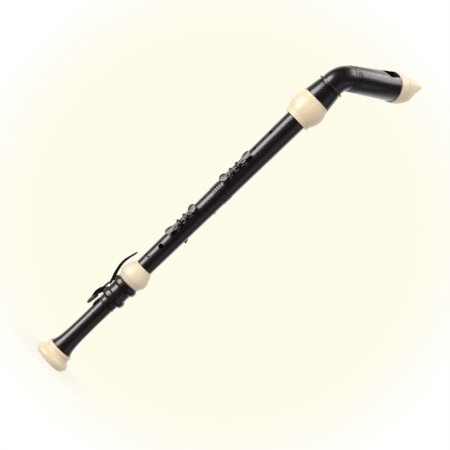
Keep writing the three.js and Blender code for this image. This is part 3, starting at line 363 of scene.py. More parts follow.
# %% Finishes of cork, skin and steel
def cork_finish():
    """Cork: pale and dark cells, with a shallow dent round each."""
    finish, tree, shader, place = new_finish("cork_grain", 0.8, specular=0.2)
    cells = add_node(tree, "ShaderNodeTexVoronoi", (-800, 0), Scale=700)
    tree.links.new(place, cells.inputs["Vector"])
    tone = add_node(tree, "ShaderNodeSeparateColor", (-650, 0))
    tree.links.new(cells.outputs["Color"], tone.inputs["Color"])
    tint = color_between(tree, tone.outputs["Red"], (0.30, 0.17, 0.08), (0.55, 0.36, 0.19), 0.05, 0.8)
    tree.links.new(tint, shader.inputs["Base Color"])
    add_bump(tree, shader, cells.outputs["Distance"], 0.0002)
    return finish


def skin_finish():
    """Thin skin over felt: small clouds and a fine crinkle."""
    finish, tree, shader, place = new_finish("pad_skin", 0.6, specular=0.3)
    clouds = noise_at(tree, place, 0.002, detail=4)
    tint = color_between(tree, clouds, (0.62, 0.50, 0.33), (0.78, 0.68, 0.50))
    tree.links.new(tint, shader.inputs["Base Color"])
    add_bump(tree, shader, clouds, 0.0001)
    return finish


def metal_finish(name, tint, roughness, stretch):
    """Drawn steel: fine lines, darker and rougher by turns."""
    finish, tree, shader, place = new_finish(name, roughness, metallic=1.0)
    lines = noise_at(tree, place, 0.0004, stretch=stretch, detail=2)
    low = [share * 0.8 for share in tint]
    tree.links.new(color_between(tree, lines, low, tint), shader.inputs["Base Color"])
    vary_gloss(tree, shader, lines, roughness, roughness + 0.15)
    return finish


cork_grain = cork_finish()
pad_skin = skin_finish()
along_wire = (0.1, 1, 1)
spring_steel = metal_finish("spring_steel", (0.36, 0.38, 0.44), 0.28, along_wire)
pin_steel = metal_finish("pin_steel", (0.62, 0.62, 0.63), 0.2, along_wire)

# %% Each CAD node gets its finish
finish_of_slot = {
    "ivory_plastic": ivory_resin, "body_plastic": tube_resin, "key_plastic": key_resin,
    "cork": cork_grain, "pad_skin": pad_skin, "spring_steel": spring_steel, "pin_steel": pin_steel,
}
for entry in frame["record"]["subparts"]:
    node = frame["nodes"][entry["node"]]
    node.data.materials.clear()
    node.data.materials.append(finish_of_slot[entry["material_slot"]])
body_of_node = {}
for body, node_names in frame["record"]["behaviour"]["bodies"].items():
    for node_name in node_names:
        body_of_node[node_name] = body

# %% [markdown]
# ## How the turned pieces are made
# Tubes and rings of a recorder are turned on a lathe, so each one is an outline spun round the
# bore. A stack of cylinders would do for a pipe, but not for coves and beads. One corner is
# placed on the outline's first point and extruded from point to point until the outline closes,
# and the spin tool then takes it once round the Z axis. Curved stretches of an outline run
# smoothly through a few chosen points. A lathe tool leaves no razor edges, so sharp corners are
# rounded in the outline before the spin: that is lighter and cleaner than a bevel over the whole
# mesh. All outlines are (distance from the axis, height), in millimetres. Cuts and joins use
# the manifold solver: it takes closed shapes alone and always leaves a closed one, so no face
# stays behind inside a wall and no wall is turned inside out.

# %% Outline helpers
seat = 0.3
tiny = 0.02
round_sides = 120
joined = tiny * mm / 4


def smooth_line(points, steps):
    """Points on one smooth curve through all the given points."""
    last = len(points) - 1
    line = []
    for step in range(steps + 1):
        place = step * last / steps
        i = min(int(place), last - 1)
        t = place - i
        before, here, there, after = (
            Vector(points[max(i - 1, 0)]), Vector(points[i]),
            Vector(points[i + 1]), Vector(points[min(i + 2, last)]))
        leave = (there - before) / 2
        arrive = (after - here) / 2
        rest = there - here
        line.append(tuple(here + leave * t + (3 * rest - 2 * leave - arrive) * t ** 2
                          + (leave + arrive - 2 * rest) * t ** 3))
    return line


def bead(base, top, middle, length, steps=14):
    """Half an oval, from its low end to its high end."""
    angles = [math.pi * step / steps for step in range(steps + 1)]
    return [(base + (top - base) * math.sin(a), middle - length / 2 * math.cos(a)) for a in angles]


def softened(outline, reach, steps=3, sharp=25):
    """The outline with each sharp corner rounded, as far as the lines beside it allow."""
    widest_share = 0.45
    soft = []
    for i, corner in enumerate(outline):
        here = Vector(corner)
        back = Vector(outline[i - 1]) - here
        on = Vector(outline[(i + 1) % len(outline)]) - here
        room = min(reach, widest_share * back.length, widest_share * on.length)
        if here.x < tiny or room < tiny or math.pi - back.angle(on) < math.radians(sharp):
            soft.append(corner)
            continue
        start = here + back.normalized() * room
        end = here + on.normalized() * room
        for step in range(steps + 1):
            t = step / steps
            soft.append(tuple(start * (1 - t) ** 2 + here * 2 * t * (1 - t) + end * t ** 2))
    return soft


print("a half oval has", len(bead(0, 1, 0, 2)), "points")

# %% Start a mesh and spin it
def select_only(piece):
    """Deselects everything else, because an operator acts on all that is selected."""
    bpy.ops.object.select_all(action="DESELECT")
    piece.select_set(True)
    bpy.context.view_layer.objects.active = piece


def start_at(name, corner):
    """A small plane, merged to the single corner from which an outline is drawn."""
    bpy.ops.object.select_all(action="DESELECT")
    bpy.ops.mesh.primitive_plane_add(size=mm, location=(0, 0, 0))
    piece = bpy.context.object
    piece.name = name
    bpy.ops.object.mode_set(mode="EDIT")
    bpy.ops.mesh.select_mode(type="VERT")
    bpy.ops.mesh.select_all(action="SELECT")
    bpy.ops.mesh.merge(type="CENTER")
    bpy.ops.transform.translate(value=corner)
    return piece


def start_rectangle(name, width, depth, centre):
    """A flat rectangle square to the Z axis, its centre in metres, left in edit mode."""
    bpy.ops.object.select_all(action="DESELECT")
    bpy.ops.mesh.primitive_plane_add(size=mm, location=(0, 0, 0))
    piece = bpy.context.object
    piece.name = name
    bpy.ops.object.mode_set(mode="EDIT")
    bpy.ops.mesh.select_all(action="SELECT")
    bpy.ops.transform.resize(value=(width, depth, 1), center_override=(0, 0, 0))
    bpy.ops.transform.translate(value=centre)
    return piece


def start_disc(name, radius, height, sides):
    """A filled disc round the Z axis, left in edit mode."""
    bpy.ops.object.select_all(action="DESELECT")
    bpy.ops.mesh.primitive_circle_add(
        vertices=sides, radius=radius * mm, fill_type="NGON", location=(0, 0, height * mm))
    piece = bpy.context.object
    piece.name = name
    bpy.ops.object.transform_apply(location=True, rotation=True, scale=True)
    bpy.ops.object.mode_set(mode="EDIT")
    bpy.ops.mesh.select_all(action="SELECT")
    return piece


def extrude(step):
    """Extrudes what is selected by a step in metres."""
    bpy.ops.mesh.extrude_region_move(TRANSFORM_OT_translate={"value": step})


def close_skin():
    """Merges the corners that lie together, drops stray edges and turns all faces outwards."""
    bpy.ops.mesh.select_all(action="SELECT")
    bpy.ops.mesh.remove_doubles(threshold=joined)
    bpy.ops.mesh.delete_loose(use_verts=True, use_edges=True, use_faces=False)
    bpy.ops.mesh.select_all(action="SELECT")
    bpy.ops.mesh.normals_make_consistent(inside=False)
    bpy.ops.object.mode_set(mode="OBJECT")


def turned_piece(name, outline, sides=round_sides):
    """Draws a closed outline and spins it once round the Z axis."""
    corners = [Vector((0, -radius, height)) * mm for radius, height in outline]
    piece = start_at(name, corners[0])
    for here, there in zip(corners, corners[1:] + corners[:1]):
        extrude(there - here)
    bpy.ops.mesh.select_all(action="SELECT")
    bpy.ops.mesh.remove_doubles(threshold=joined)
    bpy.ops.mesh.spin(steps=sides, angle=2 * math.pi, center=(0, 0, 0), axis=(0, 0, 1))
    close_skin()
    return piece


# %% Cut, join and round
def apply_modifiers(piece):
    """Works all of a piece's modifiers into its mesh."""
    select_only(piece)
    for modifier in list(piece.modifiers):
        bpy.ops.object.modifier_apply(modifier=modifier.name)


def combine(piece, other, operation="DIFFERENCE"):
    """Cuts the other shape out of the piece, joins it on, or keeps what they share."""
    change = piece.modifiers.new("change", "BOOLEAN")
    change.operation = operation
    change.solver = "MANIFOLD"
    change.object = other
    apply_modifiers(piece)
    bpy.data.objects.remove(other)


def round_edges(piece, width, segments=3, sharp=40):
    """Rounds every edge that is sharper than an angle, over a width in millimetres."""
    soften = piece.modifiers.new("soften", "BEVEL")
    soften.width = width * mm
    soften.segments = segments
    soften.limit_method = "ANGLE"
    soften.angle_limit = math.radians(sharp)
    apply_modifiers(piece)


# %% Place and finish
def put(piece, matrix):
    """Moves and turns a piece, and leaves its place in its mesh."""
    piece.matrix_world = matrix @ piece.matrix_world
    select_only(piece)
    bpy.ops.object.transform_apply(location=True, rotation=True, scale=True)


def facing_out(angle, height):
    """Turns +Z to the front, then round the tube by an angle, at a height in millimetres."""
    up = Matrix.Translation((0, 0, height * mm))
    return up @ Matrix.Rotation(math.radians(angle), 4, "Z") @ Matrix.Rotation(math.pi / 2, 4, "X")


hole_sides = 48


def drill(radius, near, mouth, ease=0.0):
    """A drill with a softly flared end, for a hole whose edge lies at the mouth."""
    far = mouth + 8
    flare_steps = 4
    flare = [(radius + ease * (1 - math.cos(a)), mouth - ease * (1 - math.sin(a)))
             for a in (math.pi / 2 * step / flare_steps for step in range(flare_steps + 1))]
    outline = [(0, near), (radius, near), *flare, (radius + ease, far), (0, far)]
    return turned_piece("drill", outline, hole_sides)


def seat_post(radius, inside, top):
    """A raised round seat for a pad, from inside the wall to its bevelled top."""
    bevel = 0.4
    outline = [(0, inside), (radius, inside), (radius, top - bevel), (radius - bevel, top), (0, top)]
    return turned_piece("key_seat", outline, hole_sides)


def finish_piece(piece, slot, *nodes, smooth=32):
    """Gives a piece its finish and its body, and lets it stand for CAD nodes."""
    piece.data.materials.clear()
    piece.data.materials.append(finish_of_slot[slot])
    select_only(piece)
    bpy.ops.object.shade_smooth_by_angle(angle=math.radians(smooth))
    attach(piece, body_of_node[nodes[0]])
    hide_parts(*nodes)
    triangles = sum(len(face.vertices) - 2 for face in piece.data.polygons)
    print(piece.name, triangles, "triangles, rides on", body_of_node[nodes[0]])


def span_of(node):
    """The lowest and highest height of a CAD node, in millimetres."""
    low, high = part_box(node)
    return low[2] / mm, high[2] / mm


# %% [markdown]
# ## Bell ring and foot joint
# The bell is an ivory ring on which the recorder stands: a full bulge, a cove, and a small
# rounded lip under the foot. The foot joint rises from it as a slim flared stem. Above a fine
# lip it carries two oval beads, each with a slot sawn across for the key, and a socket for the
# middle joint, which a larger ivory ring covers. All of it is turned. What isn't round is made
# as on the bench: a post is joined on as the pad's seat, and a drill and a saw blade are cut out.

# %% Bell ring
bell_top = span_of("bell_ring")[1]
bell_bore, bell_widest, bell_spigot = 11.5, 33.6, 20.3
ledge = 3
bell_outline = [
    (bell_bore, 0),
    *smooth_line([(29.5, 0), (bell_widest, 9.5), (28, 17), (24.6, 22.5)], 30),
    *smooth_line([(25.2, 24.4), (25.5, 26.4), (25.2, 28.6), (24.1, bell_top)], 10),
    (bell_spigot, bell_top), (bell_spigot, ledge), (bell_bore, ledge),
]
bell = turned_piece("ivory_bell", softened(bell_outline, 0.6))
finish_piece(bell, "ivory_plastic", "bell_ring")

# %% Foot joint
foot_low = span_of("foot_joint")[0]
ring_foot, ring_top = span_of("foot_socket_ring")
flare_foot = bell_top + seat
stem_top, lip_height = 106, 141.6
stem_radius, flare_width, lip_foot_radius = 15.9, 6.6, 16.2
lower_bead, upper_bead, bead_length = 160.7, 189.3, 14.5
foot_bore, foot_socket, socket_foot = 9.3, 14.4, 199.4
flare_left = [(0, 1), (0.07, 0.64), (0.17, 0.37), (0.34, 0.16), (0.62, 0.04), (1, 0)]
flare_points = [(stem_radius + flare_width * left, flare_foot + (stem_top - flare_foot) * up)
                for up, left in flare_left]
foot_outline = [
    (8.4, foot_low), (20, foot_low), (20, flare_foot),
    *smooth_line([*flare_points, (lip_foot_radius, 137)], 40),
    *bead(lip_foot_radius, 17.8, lip_height, 3.2, 8),
    (17.3, 144.8), (17.3, 152),
    *bead(19.8, 23.5, lower_bead, bead_length),
    (19.3, 175),
    *bead(19.8, 24.3, upper_bead, bead_length),
    (21, ring_foot - seat), (17, ring_foot - seat), (17, 230),
    (foot_socket, 230), (foot_socket, socket_foot), (foot_bore, socket_foot),
]
foot = turned_piece("foot_tube", softened(foot_outline, 0.35))
foot_angle, foot_hole_height = -45, 132.5
foot_seat_radius, foot_seat_top, foot_hole_radius = 8, 17.6, 5.4
foot_seat = seat_post(foot_seat_radius, foot_bore, foot_seat_top)
put(foot_seat, facing_out(foot_angle, foot_hole_height))
combine(foot, foot_seat, "UNION")
tone_hole = drill(foot_hole_radius, 0, foot_seat_top + 0.4, 0.4)
put(tone_hole, facing_out(foot_angle, foot_hole_height))
combine(foot, tone_hole)

# %% Slots in the beads
slot_width, slot_floor, saw_length, saw_height = 6.5, 17.6, 18, 14
for height in (lower_bead, upper_bead):
    bpy.ops.object.select_all(action="DESELECT")
    bpy.ops.mesh.primitive_cube_add(size=mm, location=(0, 0, 0))
    saw = bpy.context.object
    saw.scale = (slot_width, saw_length, saw_height)
    in_slot = Matrix.Translation((0, 0, (slot_floor + saw_height / 2) * mm))
    put(saw, facing_out(foot_angle, height) @ in_slot)
    combine(foot, saw)
finish_piece(foot, "body_plastic", "foot_joint")

# %% Ivory ring of the foot
rise = [(20.8, 0), (23.4, 0.13), (26.2, 0.28), (27, 0.42)]
fall = [(25.7, 0.58), (22.5, 0.78), (19.5, 0.92), (17.6, 1)]
ring_wall = [(radius, ring_foot + (ring_top - ring_foot) * up) for radius, up in rise + fall]
ring_bore, rim_length = 17.3, 5.7
foot_ring_outline = [
    (ring_bore, ring_foot), *smooth_line(ring_wall, 36), (foot_socket, ring_top),
    (foot_socket, ring_top - rim_length), (ring_bore, ring_top - rim_length),
]
foot_ring = turned_piece("ivory_foot_ring", softened(foot_ring_outline, 0.5))
finish_piece(foot_ring, "ivory_plastic", "foot_socket_ring")

# %% [markdown]
# ## Middle joint
# The middle joint is a gently tapered tube with a tenon at each end, wrapped in cork. Half way
# up it has a band of four ribs. Dark discs laid on the tube would look like holes from afar, but
# real ones catch light on their walls. So they are drilled from outside: each hole is a drill
# that is cut out, with the edge eased as a player's fingertip needs. The lowest finger has a
# double hole on a small raised pad, and each key closes a hole with a raised round seat.

# %% Middle tube
head_ring_foot, head_ring_top = span_of("head_socket_ring")
middle_foot = ring_top + seat
middle_top = head_ring_foot - seat
middle_foot_radius, middle_widening = 16.6, 3.6
band_foot, ribs, rib_pitch, rib_rise, rib_gap = 416, 4, 5, 0.9, 0.8
cork_radius_of = {"lower": 14.1, "upper": 18.7, "neck": 18, "head": 16.9}


def middle_radius(height):
    """The tube's radius at a height, in millimetres."""
    up = height - middle_foot
    return middle_foot_radius + middle_widening * up / (middle_top - middle_foot)


def tenon(shoulder, end, cork_radius):
    """Two lips with a groove between them that holds the cork."""
    way = 4 if end > shoulder else -4
    core = cork_radius - 1.5
    return [(cork_radius, shoulder), (cork_radius, shoulder + way), (core, shoulder + way),
            (core, end - way), (cork_radius, end - way), (cork_radius, end)]


band = [(middle_radius(band_foot), band_foot)]
for rib in range(ribs):
    low = band_foot + rib_pitch * rib
    crest = middle_radius(low) + rib_rise
    band += [(crest, low + 0.5), (crest, low + 4)]
    if rib < ribs - 1:
        band.append((crest - rib_gap, low + 4.5))
band_top = band_foot + ribs * rib_pitch
band.append((middle_radius(band_top), band_top))
middle_low, middle_high = span_of("middle_joint")
middle_outline = [
    (9.6, middle_low), *reversed(tenon(middle_foot, middle_low, cork_radius_of["lower"])),
    (middle_foot_radius, middle_foot), *band, (20.2, middle_top),
    *tenon(middle_top, middle_high, cork_radius_of["upper"]), (13, middle_high),
]
middle = turned_piece("middle_tube", softened(middle_outline, 0.5))

# %% Pad of the double hole and seats of the keys
double_height, double_angle, double_rise, double_radius = 256, -2, 0.9, 5.4
double_top = middle_radius(double_height) + double_rise
double_low, double_high = double_height - 12, double_height + 12
post_outline = [(0, 10), (double_radius, 10), (double_radius, 30), (0, 30)]
double_post = turned_piece("double_post", post_outline, 64)
put(double_post, facing_out(double_angle, double_height))
double_round = turned_piece("double_round", softened([
    (0, double_low), (double_top, double_low), (double_top, double_high), (0, double_high)], 0.3))
combine(double_post, double_round, "INTERSECT")
combine(middle, double_post, "UNION")
key_angle, hole_from_key = 3, 25.8
upper_key, lower_key = 474.3, 345.1
closed_holes = (upper_key - hole_from_key, lower_key + hole_from_key)
seat_radius, seat_rise = 7.2, 1.4
for height in closed_holes:
    key_seat = seat_post(seat_radius, 13.5, middle_radius(height) + seat_rise)
    put(key_seat, facing_out(key_angle, height))
    combine(middle, key_seat, "UNION")

# %% Finger holes, each with its height, its angle and its radius
finger_holes = {
    "first": (563, -11, 3.65), "second": (523, -11, 2.8), "fourth": (285, 17, 4.6),
    "upper_key": (closed_holes[0], key_angle, 4.6), "lower_key": (closed_holes[1], key_angle, 4.6),
    "double_large": (double_height, -11.5, 2.3), "double_small": (double_height, 7.5, 1.65),
    "thumb": (588, 180, 3.4),
}
for name, (height, angle, radius) in finger_holes.items():
    mouth = middle_radius(height) + (double_rise if name.startswith("double") else 0)
    mouth += seat_rise if name.endswith("key") else 0
    hole = drill(radius, 0, mouth, 0.45)
    put(hole, facing_out(angle, height))
    combine(middle, hole)
finish_piece(middle, "body_plastic", "middle_joint")

# %% [markdown]
# ## Head ring, sleeve and neck
# The widest ivory ring holds the socket of the head: a stepped band below, a round bulge, and a
# flat cap above. The black sleeve tapers from it to the neck. The neck starts with a collar and
# a thin flange, bends back by 62.5 degrees, and ends in a rim against the head barrel. A curve
# with a round section would bend too. The spin tool keeps it a plain mesh: the ring of edges at
# the end of the straight stretch is spun about a line that lies behind the tube.

# %% Ivory ring of the head
head_socket, sleeve_seat, floor_length = 19, 23.3, 3.7
step_radius, bulge_rise, cap_radius = 26.5, 6.5, 28.5
bulge_foot = head_ring_foot + 8.4
cap_foot = head_ring_top - 5.2
bulge_length = cap_foot - bulge_foot
swell = [(0, 0), (0.1, 0.33), (0.25, 0.7), (0.42, 0.95), (0.54, 1), (0.72, 0.93), (0.88, 0.7), (1, 0.4)]
bulge = [(step_radius + bulge_rise * out, bulge_foot + bulge_length * up) for up, out in swell]
head_ring_outline = [
    (head_socket, head_ring_foot), (25.5, head_ring_foot), (25.5, head_ring_foot + 3.6),
    (25.0, head_ring_foot + 4.1), (step_radius, head_ring_foot + 4.6),
    (step_radius, bulge_foot - 0.6), (26.0, bulge_foot), *smooth_line(bulge, 40)[1:],
    (28, cap_foot + 0.5), (cap_radius, cap_foot + 1), (cap_radius, head_ring_top),
    (sleeve_seat, head_ring_top), (sleeve_seat, head_ring_foot + floor_length),
    (head_socket, head_ring_foot + floor_length),
]
head_ring = turned_piece("ivory_head_ring", softened(head_ring_outline, 0.5))
finish_piece(head_ring, "ivory_plastic", "head_socket_ring")

# %% Sleeve
sleeve_low, sleeve_top = span_of("head_sleeve")
sleeve_foot = head_ring_top + seat
sleeve_widest, neck_socket, neck_bore_radius = 27.9, 18.3, 13.2
socket_end, step_end = sleeve_top - 27.5, sleeve_top - 40.5
sleeve_outline = [
    (head_socket, sleeve_low), (23, sleeve_low), (23, sleeve_foot), (sleeve_widest, sleeve_foot),
    (sleeve_widest, sleeve_foot + 1), (24, sleeve_top - 1), (23, sleeve_top),
    (neck_socket, sleeve_top), (neck_socket, socket_end), (neck_bore_radius, socket_end),
    (neck_bore_radius, step_end), (head_socket, step_end),
]
sleeve = turned_piece("sleeve_cone", softened(sleeve_outline, 0.7))
finish_piece(sleeve, "body_plastic", "head_sleeve")

# %% Neck
neck_foot = sleeve_top + seat
bend_corner = neck_foot + 27
bend_degrees = 62.5
bend_radius = 31
neck_radius = 22.3
rim_foot, rim_end = 18.1, 20.3
bend_start = bend_corner - bend_radius * math.tan(math.radians(bend_degrees / 2))
head_place = (Matrix.Translation((0, 0, bend_corner * mm))
              @ Matrix.Rotation(math.radians(-bend_degrees), 4, "X"))
straight_end = rim_end - bend_radius * math.tan(math.radians(bend_degrees / 2))
print("the neck bends", bend_degrees, "degrees at", round(bend_corner, 1), "mm")


def bent_tube(name, radius, first, last):
    """A rod that runs straight up, bends back and runs straight on."""
    bend = math.radians(bend_degrees)
    piece = start_disc(name, radius, first, round_sides)
    extrude((0, 0, (bend_start - first) * mm))
    centre = (0, bend_radius * mm, bend_start * mm)
    bpy.ops.mesh.spin(steps=24, angle=bend, center=centre, axis=(1, 0, 0))
    extrude(Vector((0, math.sin(bend), math.cos(bend))) * last * mm)
    close_skin()
    return piece


def tenon_post(name, shoulder, end, cork_radius):
    """A tenon as a solid post, rooted in the piece that carries it, before the bore is drilled."""
    root = shoulder - math.copysign(1, end - shoulder)
    return turned_piece(name, [
        (0, root), (cork_radius, root), *tenon(shoulder, end, cork_radius)[1:], (0, end)])


neck = bent_tube("neck_bend", neck_radius, neck_foot + 2 * seat, straight_end - seat)
collar_radius, flange_radius, flange_foot, flange_top = 23, 26, neck_foot + 2.2, neck_foot + 4.8
collar = turned_piece("collar", softened([
    (0, neck_foot), (collar_radius, neck_foot), (collar_radius, flange_foot),
    (flange_radius, flange_foot), (flange_radius, flange_top), (0, flange_top)], 0.5))
combine(neck, collar, "UNION")
neck_shoulder, neck_tenon_length = neck_foot + seat, 26
neck_tenon = tenon_post(
    "neck_tenon", neck_shoulder, neck_shoulder - neck_tenon_length, cork_radius_of["neck"])
combine(neck, neck_tenon, "UNION")
rim_radius = 23.1
rim = turned_piece("rim", softened([
    (0, rim_foot), (rim_radius, rim_foot), (rim_radius, rim_end), (0, rim_end)], 0.5))
put(rim, head_place)
combine(neck, rim, "UNION")
head_shoulder, head_tenon_length = 20, 22
head_tenon = tenon_post(
    "head_tenon", head_shoulder, head_shoulder + head_tenon_length, cork_radius_of["head"])
put(head_tenon, head_place)
combine(neck, head_tenon, "UNION")
past_neck = 40
neck_bore = bent_tube("neck_bore", neck_bore_radius, neck_foot - past_neck, straight_end + past_neck)
combine(neck, neck_bore)
finish_piece(neck, "body_plastic", "neck_elbow")

# %% [markdown]
# ## Head barrel
# The barrel widens slowly towards the beak and has three fine grooves near the neck. The window
# is the heart of the recorder: air leaves the windway through it and strikes the sharp lip at
# the thin end of a ramp. A plain slanted block would cut a flat ramp. The real ramp's floor
# follows the round bore at the lip and is nearly flat where it runs out, so the cutter is a
# wedge whose underside is a widening cone.

# %% Barrel tube, drawn along +Z and laid back on the neck at the end
barrel_start, barrel_length = 20.6, 112.5
barrel_end = barrel_start + barrel_length
bore_radius = 18.2
barrel_start_radius, barrel_widening = 23.4, 3.8
groove_starts, groove_depth = (3.2, 6.8, 10.4), 1.0
groove_shape = ((0, 0), (0.4, groove_depth), (1.1, groove_depth), (1.5, 0))
spigot_radius, spigot_end = 22.4, barrel_end + 15
barrel_socket, barrel_socket_end = 17.2, 42.9


def barrel_radius(along):
    """The barrel's radius at a place along it, in millimetres."""
    return barrel_start_radius + barrel_widening * (along - barrel_start) / barrel_length


grooves = []
for start in groove_starts:
    for along, depth in groove_shape:
        place_along = barrel_start + start + along
        grooves.append((barrel_radius(place_along) - depth, place_along))
barrel_outline = [
    (barrel_start_radius, barrel_start), *grooves, (27.2, barrel_end), (spigot_radius, barrel_end),
    (spigot_radius, spigot_end), (bore_radius, spigot_end), (bore_radius, barrel_socket_end),
    (barrel_socket, barrel_socket_end), (barrel_socket, barrel_start),
]
barrel = turned_piece("barrel_tube", softened(barrel_outline, 0.45))

# %% Window and ramp
window_width, ramp_far_width = 22.5, 29
window_end = barrel_end - 1.5
lip = window_end - 8
ramp_run, overrun = 28, 1.15
ramp_length = ramp_run * overrun
lip_radius = bore_radius + 0.8
ramp_end_radius = barrel_radius(lip - ramp_run)
flat_radius = 60


def wedge(name, start, end, start_width, end_width, floor, top):
    """A block across the front whose width changes between its two ends."""
    middle_out = (floor + top) / 2
    piece = start_rectangle(name, start_width, top - floor, (0, -middle_out * mm, start * mm))
    extrude((0, 0, (end - start) * mm))
    bpy.ops.transform.resize(
        value=(end_width / start_width, 1, 1), center_override=(0, -middle_out * mm, end * mm))
    close_skin()
    return piece


def tilted_cone(name, start, end, start_radius, end_radius, end_top):
    """A round solid whose upper side climbs from the start radius to the end top."""
    piece = start_disc(name, start_radius, start, 2 * round_sides)
    sink = (end_radius - end_top) * mm
    extrude((0, sink, (end - start) * mm))
    grow = end_radius / start_radius
    bpy.ops.transform.resize(value=(grow, grow, 1), center_override=(0, sink, end * mm))
    close_skin()
    return piece


far_out = 36
ramp_foot = lip - ramp_length
ramp_foot_width = window_width + (ramp_far_width - window_width) * overrun
ramp_foot_top = lip_radius + (ramp_end_radius - lip_radius) * overrun
ramp_cut = wedge("ramp_cut", lip, ramp_foot, window_width, ramp_foot_width, 5, far_out)
ramp_floor = tilted_cone("ramp_floor", lip, ramp_foot, lip_radius, flat_radius, ramp_foot_top)
combine(ramp_cut, ramp_floor)
opening = wedge("opening", lip - 0.3, window_end, window_width, window_width, 0, far_out)
combine(barrel, ramp_cut)
combine(barrel, opening)
print("window", window_width, "mm wide, ramp", ramp_run, "mm long")
put(barrel, head_place)
finish_piece(barrel, "body_plastic", "head_barrel")

# %% [markdown]
# ## Block and beak
# The block closes the barrel behind the window, apart from the windway, a thin slit that leads
# the breath to the lip. The beak cap is ivory resin: a rounded band, a fine groove, and the beak
# itself. A beak starts as a turned cone. It is then sawn to its plan, sloped on top down to a
# thin edge, and hollowed under the chin with a round cutter, as is done on the real bench.
# Sanding leaves all its edges soft, so the cut cone is rebuilt with small even faces and
# smoothed, which rounds them all alike.

# %% Block
windway_width, windway_height = 19.5, 1.5
windway_floor = bore_radius - windway_height - seat
block_start, block_end = window_end, barrel_end + 23
block_radius = bore_radius - seat
block = turned_piece("block", softened([
    (0, block_start), (block_radius, block_start), (block_radius, block_end), (0, block_end)], 0.3))
channel_start, channel_end, channel_radius = block_start - 5, block_end + 5, 30
channel = turned_piece("channel", [
    (windway_floor, channel_start), (channel_radius, channel_start),
    (channel_radius, channel_end), (windway_floor, channel_end)])
across = wedge("across", channel_start - 1, channel_end + 1, windway_width, windway_width, 0, 40)
combine(channel, across, "INTERSECT")
combine(block, channel)
put(block, head_place)
finish_piece(block, "body_plastic", "fipple_block")

# %% Sizes of the beak, and a flat cutter
band_length, groove_width, beak_length, hollow_depth = 18.5, 1.3, 65, 23
beak_start = barrel_end + seat
beak_tip = beak_start + beak_length
band_end = beak_start + band_length
cone_start = band_end + groove_width
hollow_end = beak_start + hollow_depth
cone_radius, tip_radius, tip_half_width = 28.4, 20.5, 11.4
crown_at_barrel, crown_at_groove, crown_tip, chin_tip = 25, 23.4, 14.8, 10.6
beyond = 40
print("the beak runs from", round(beak_start, 1), "to", round(beak_tip, 1), "mm along the head")


def flat_cutter(name, corners, depth):
    """A closed outline, filled and extruded along a direction."""
    corners = [Vector(corner) * mm for corner in corners]
    piece = start_at(name, corners[0])
    for here, there in zip(corners, corners[1:]):
        extrude(there - here)
    bpy.ops.mesh.select_all(action="SELECT")
    bpy.ops.mesh.edge_face_add()
    extrude(Vector(depth) * mm)
    close_skin()
    return piece


# %% Turned cone of the beak
cone_length = beak_tip - cone_start
taper, tip_round = cone_radius - tip_radius, 1.4
cone_shape = ((0, 1), (0.12, 0.93), (0.4, 0.66), (0.7, 0.32), (1, 0.04))
cone_wall = smooth_line([
    (tip_radius + taper * left, cone_start + (cone_length - tip_round) * along)
    for along, left in cone_shape], 24)
beak_outline = [
    (0, hollow_end), (bore_radius, hollow_end), (bore_radius, cone_start - 0.3),
    (cone_radius - 0.5, cone_start - 0.3), *cone_wall, (tip_radius - tip_round, beak_tip), (0, beak_tip),
]
beak = turned_piece("beak", beak_outline)

# %% Plan, crown and chin
plan = [(0, 1), (0.3, 0.78), (0.6, 0.42), (0.85, 0.14), (0.97, 0), (1.02, -0.08)]
plan_swell = cone_radius - tip_half_width
half_plan = [(tip_half_width + plan_swell * out, cone_start + cone_length * along)
             for along, out in smooth_line(plan, 24)]
half_plan = [(beyond, cone_start - 6), (beyond, cone_start), *half_plan]
plan_corners = ([(-half, -beyond, along) for half, along in half_plan]
                + [(half, -beyond, along) for half, along in reversed(half_plan)])
combine(beak, flat_cutter("beak_plan", plan_corners, (0, 2 * beyond, 0)), "INTERSECT")
crown = [(0, 1), (0.3, 0.7), (0.6, 0.34), (1, 0)]
crown_line = [(cone_start + cone_length * along, crown_tip + (crown_at_groove - crown_tip) * up)
              for along, up in smooth_line(crown, 20)]
before_beak, past_beak = beak_start - 4, beak_tip + 8
crown_line = [(before_beak, beyond), (before_beak, crown_at_barrel + 0.3), (beak_start, crown_at_barrel),
              *crown_line, (past_beak, crown_tip), (past_beak, beyond)]
crown_corners = [(-beyond, -out, along) for along, out in crown_line]
combine(beak, flat_cutter("crown_cut", crown_corners, (2 * beyond, 0, 0)))
drum_radius, past_tip = 90, 36
drum_out = chin_tip - math.sqrt(drum_radius ** 2 - past_tip ** 2)
drum_outline = [(0, -beyond), (drum_radius, -beyond), (drum_radius, beyond), (0, beyond)]
drum = turned_piece("chin_drum", drum_outline, 200)
put(drum, Matrix.Translation(Vector((0, -drum_out, beak_tip + past_tip)) * mm)
    @ Matrix.Rotation(math.pi / 2, 4, "Y"))
combine(beak, drum)

# %% Beak band
band_radius, band_swell, cap_socket, cap_socket_end = 28.8, 29.8, 22.7, beak_start + 15
band_middle = (beak_start + band_end) / 2
band_outline = [
    (cap_socket, beak_start), *bead(band_radius, band_swell, band_middle, band_length, 20),
    (cone_radius - 1.3, band_end + 0.5), (cone_radius - 1.5, cone_start), (bore_radius, cone_start),
    (bore_radius, cap_socket_end), (cap_socket, cap_socket_end),
]
beak_band = turned_piece("beak_band", softened(band_outline, 0.4))
combine(beak_band, flat_cutter("band_crown_cut", crown_corners, (2 * beyond, 0, 0)))
round_edges(beak_band, 0.5, sharp=35)
put(beak_band, head_place)
finish_piece(beak_band, "ivory_plastic", "beak_cap")

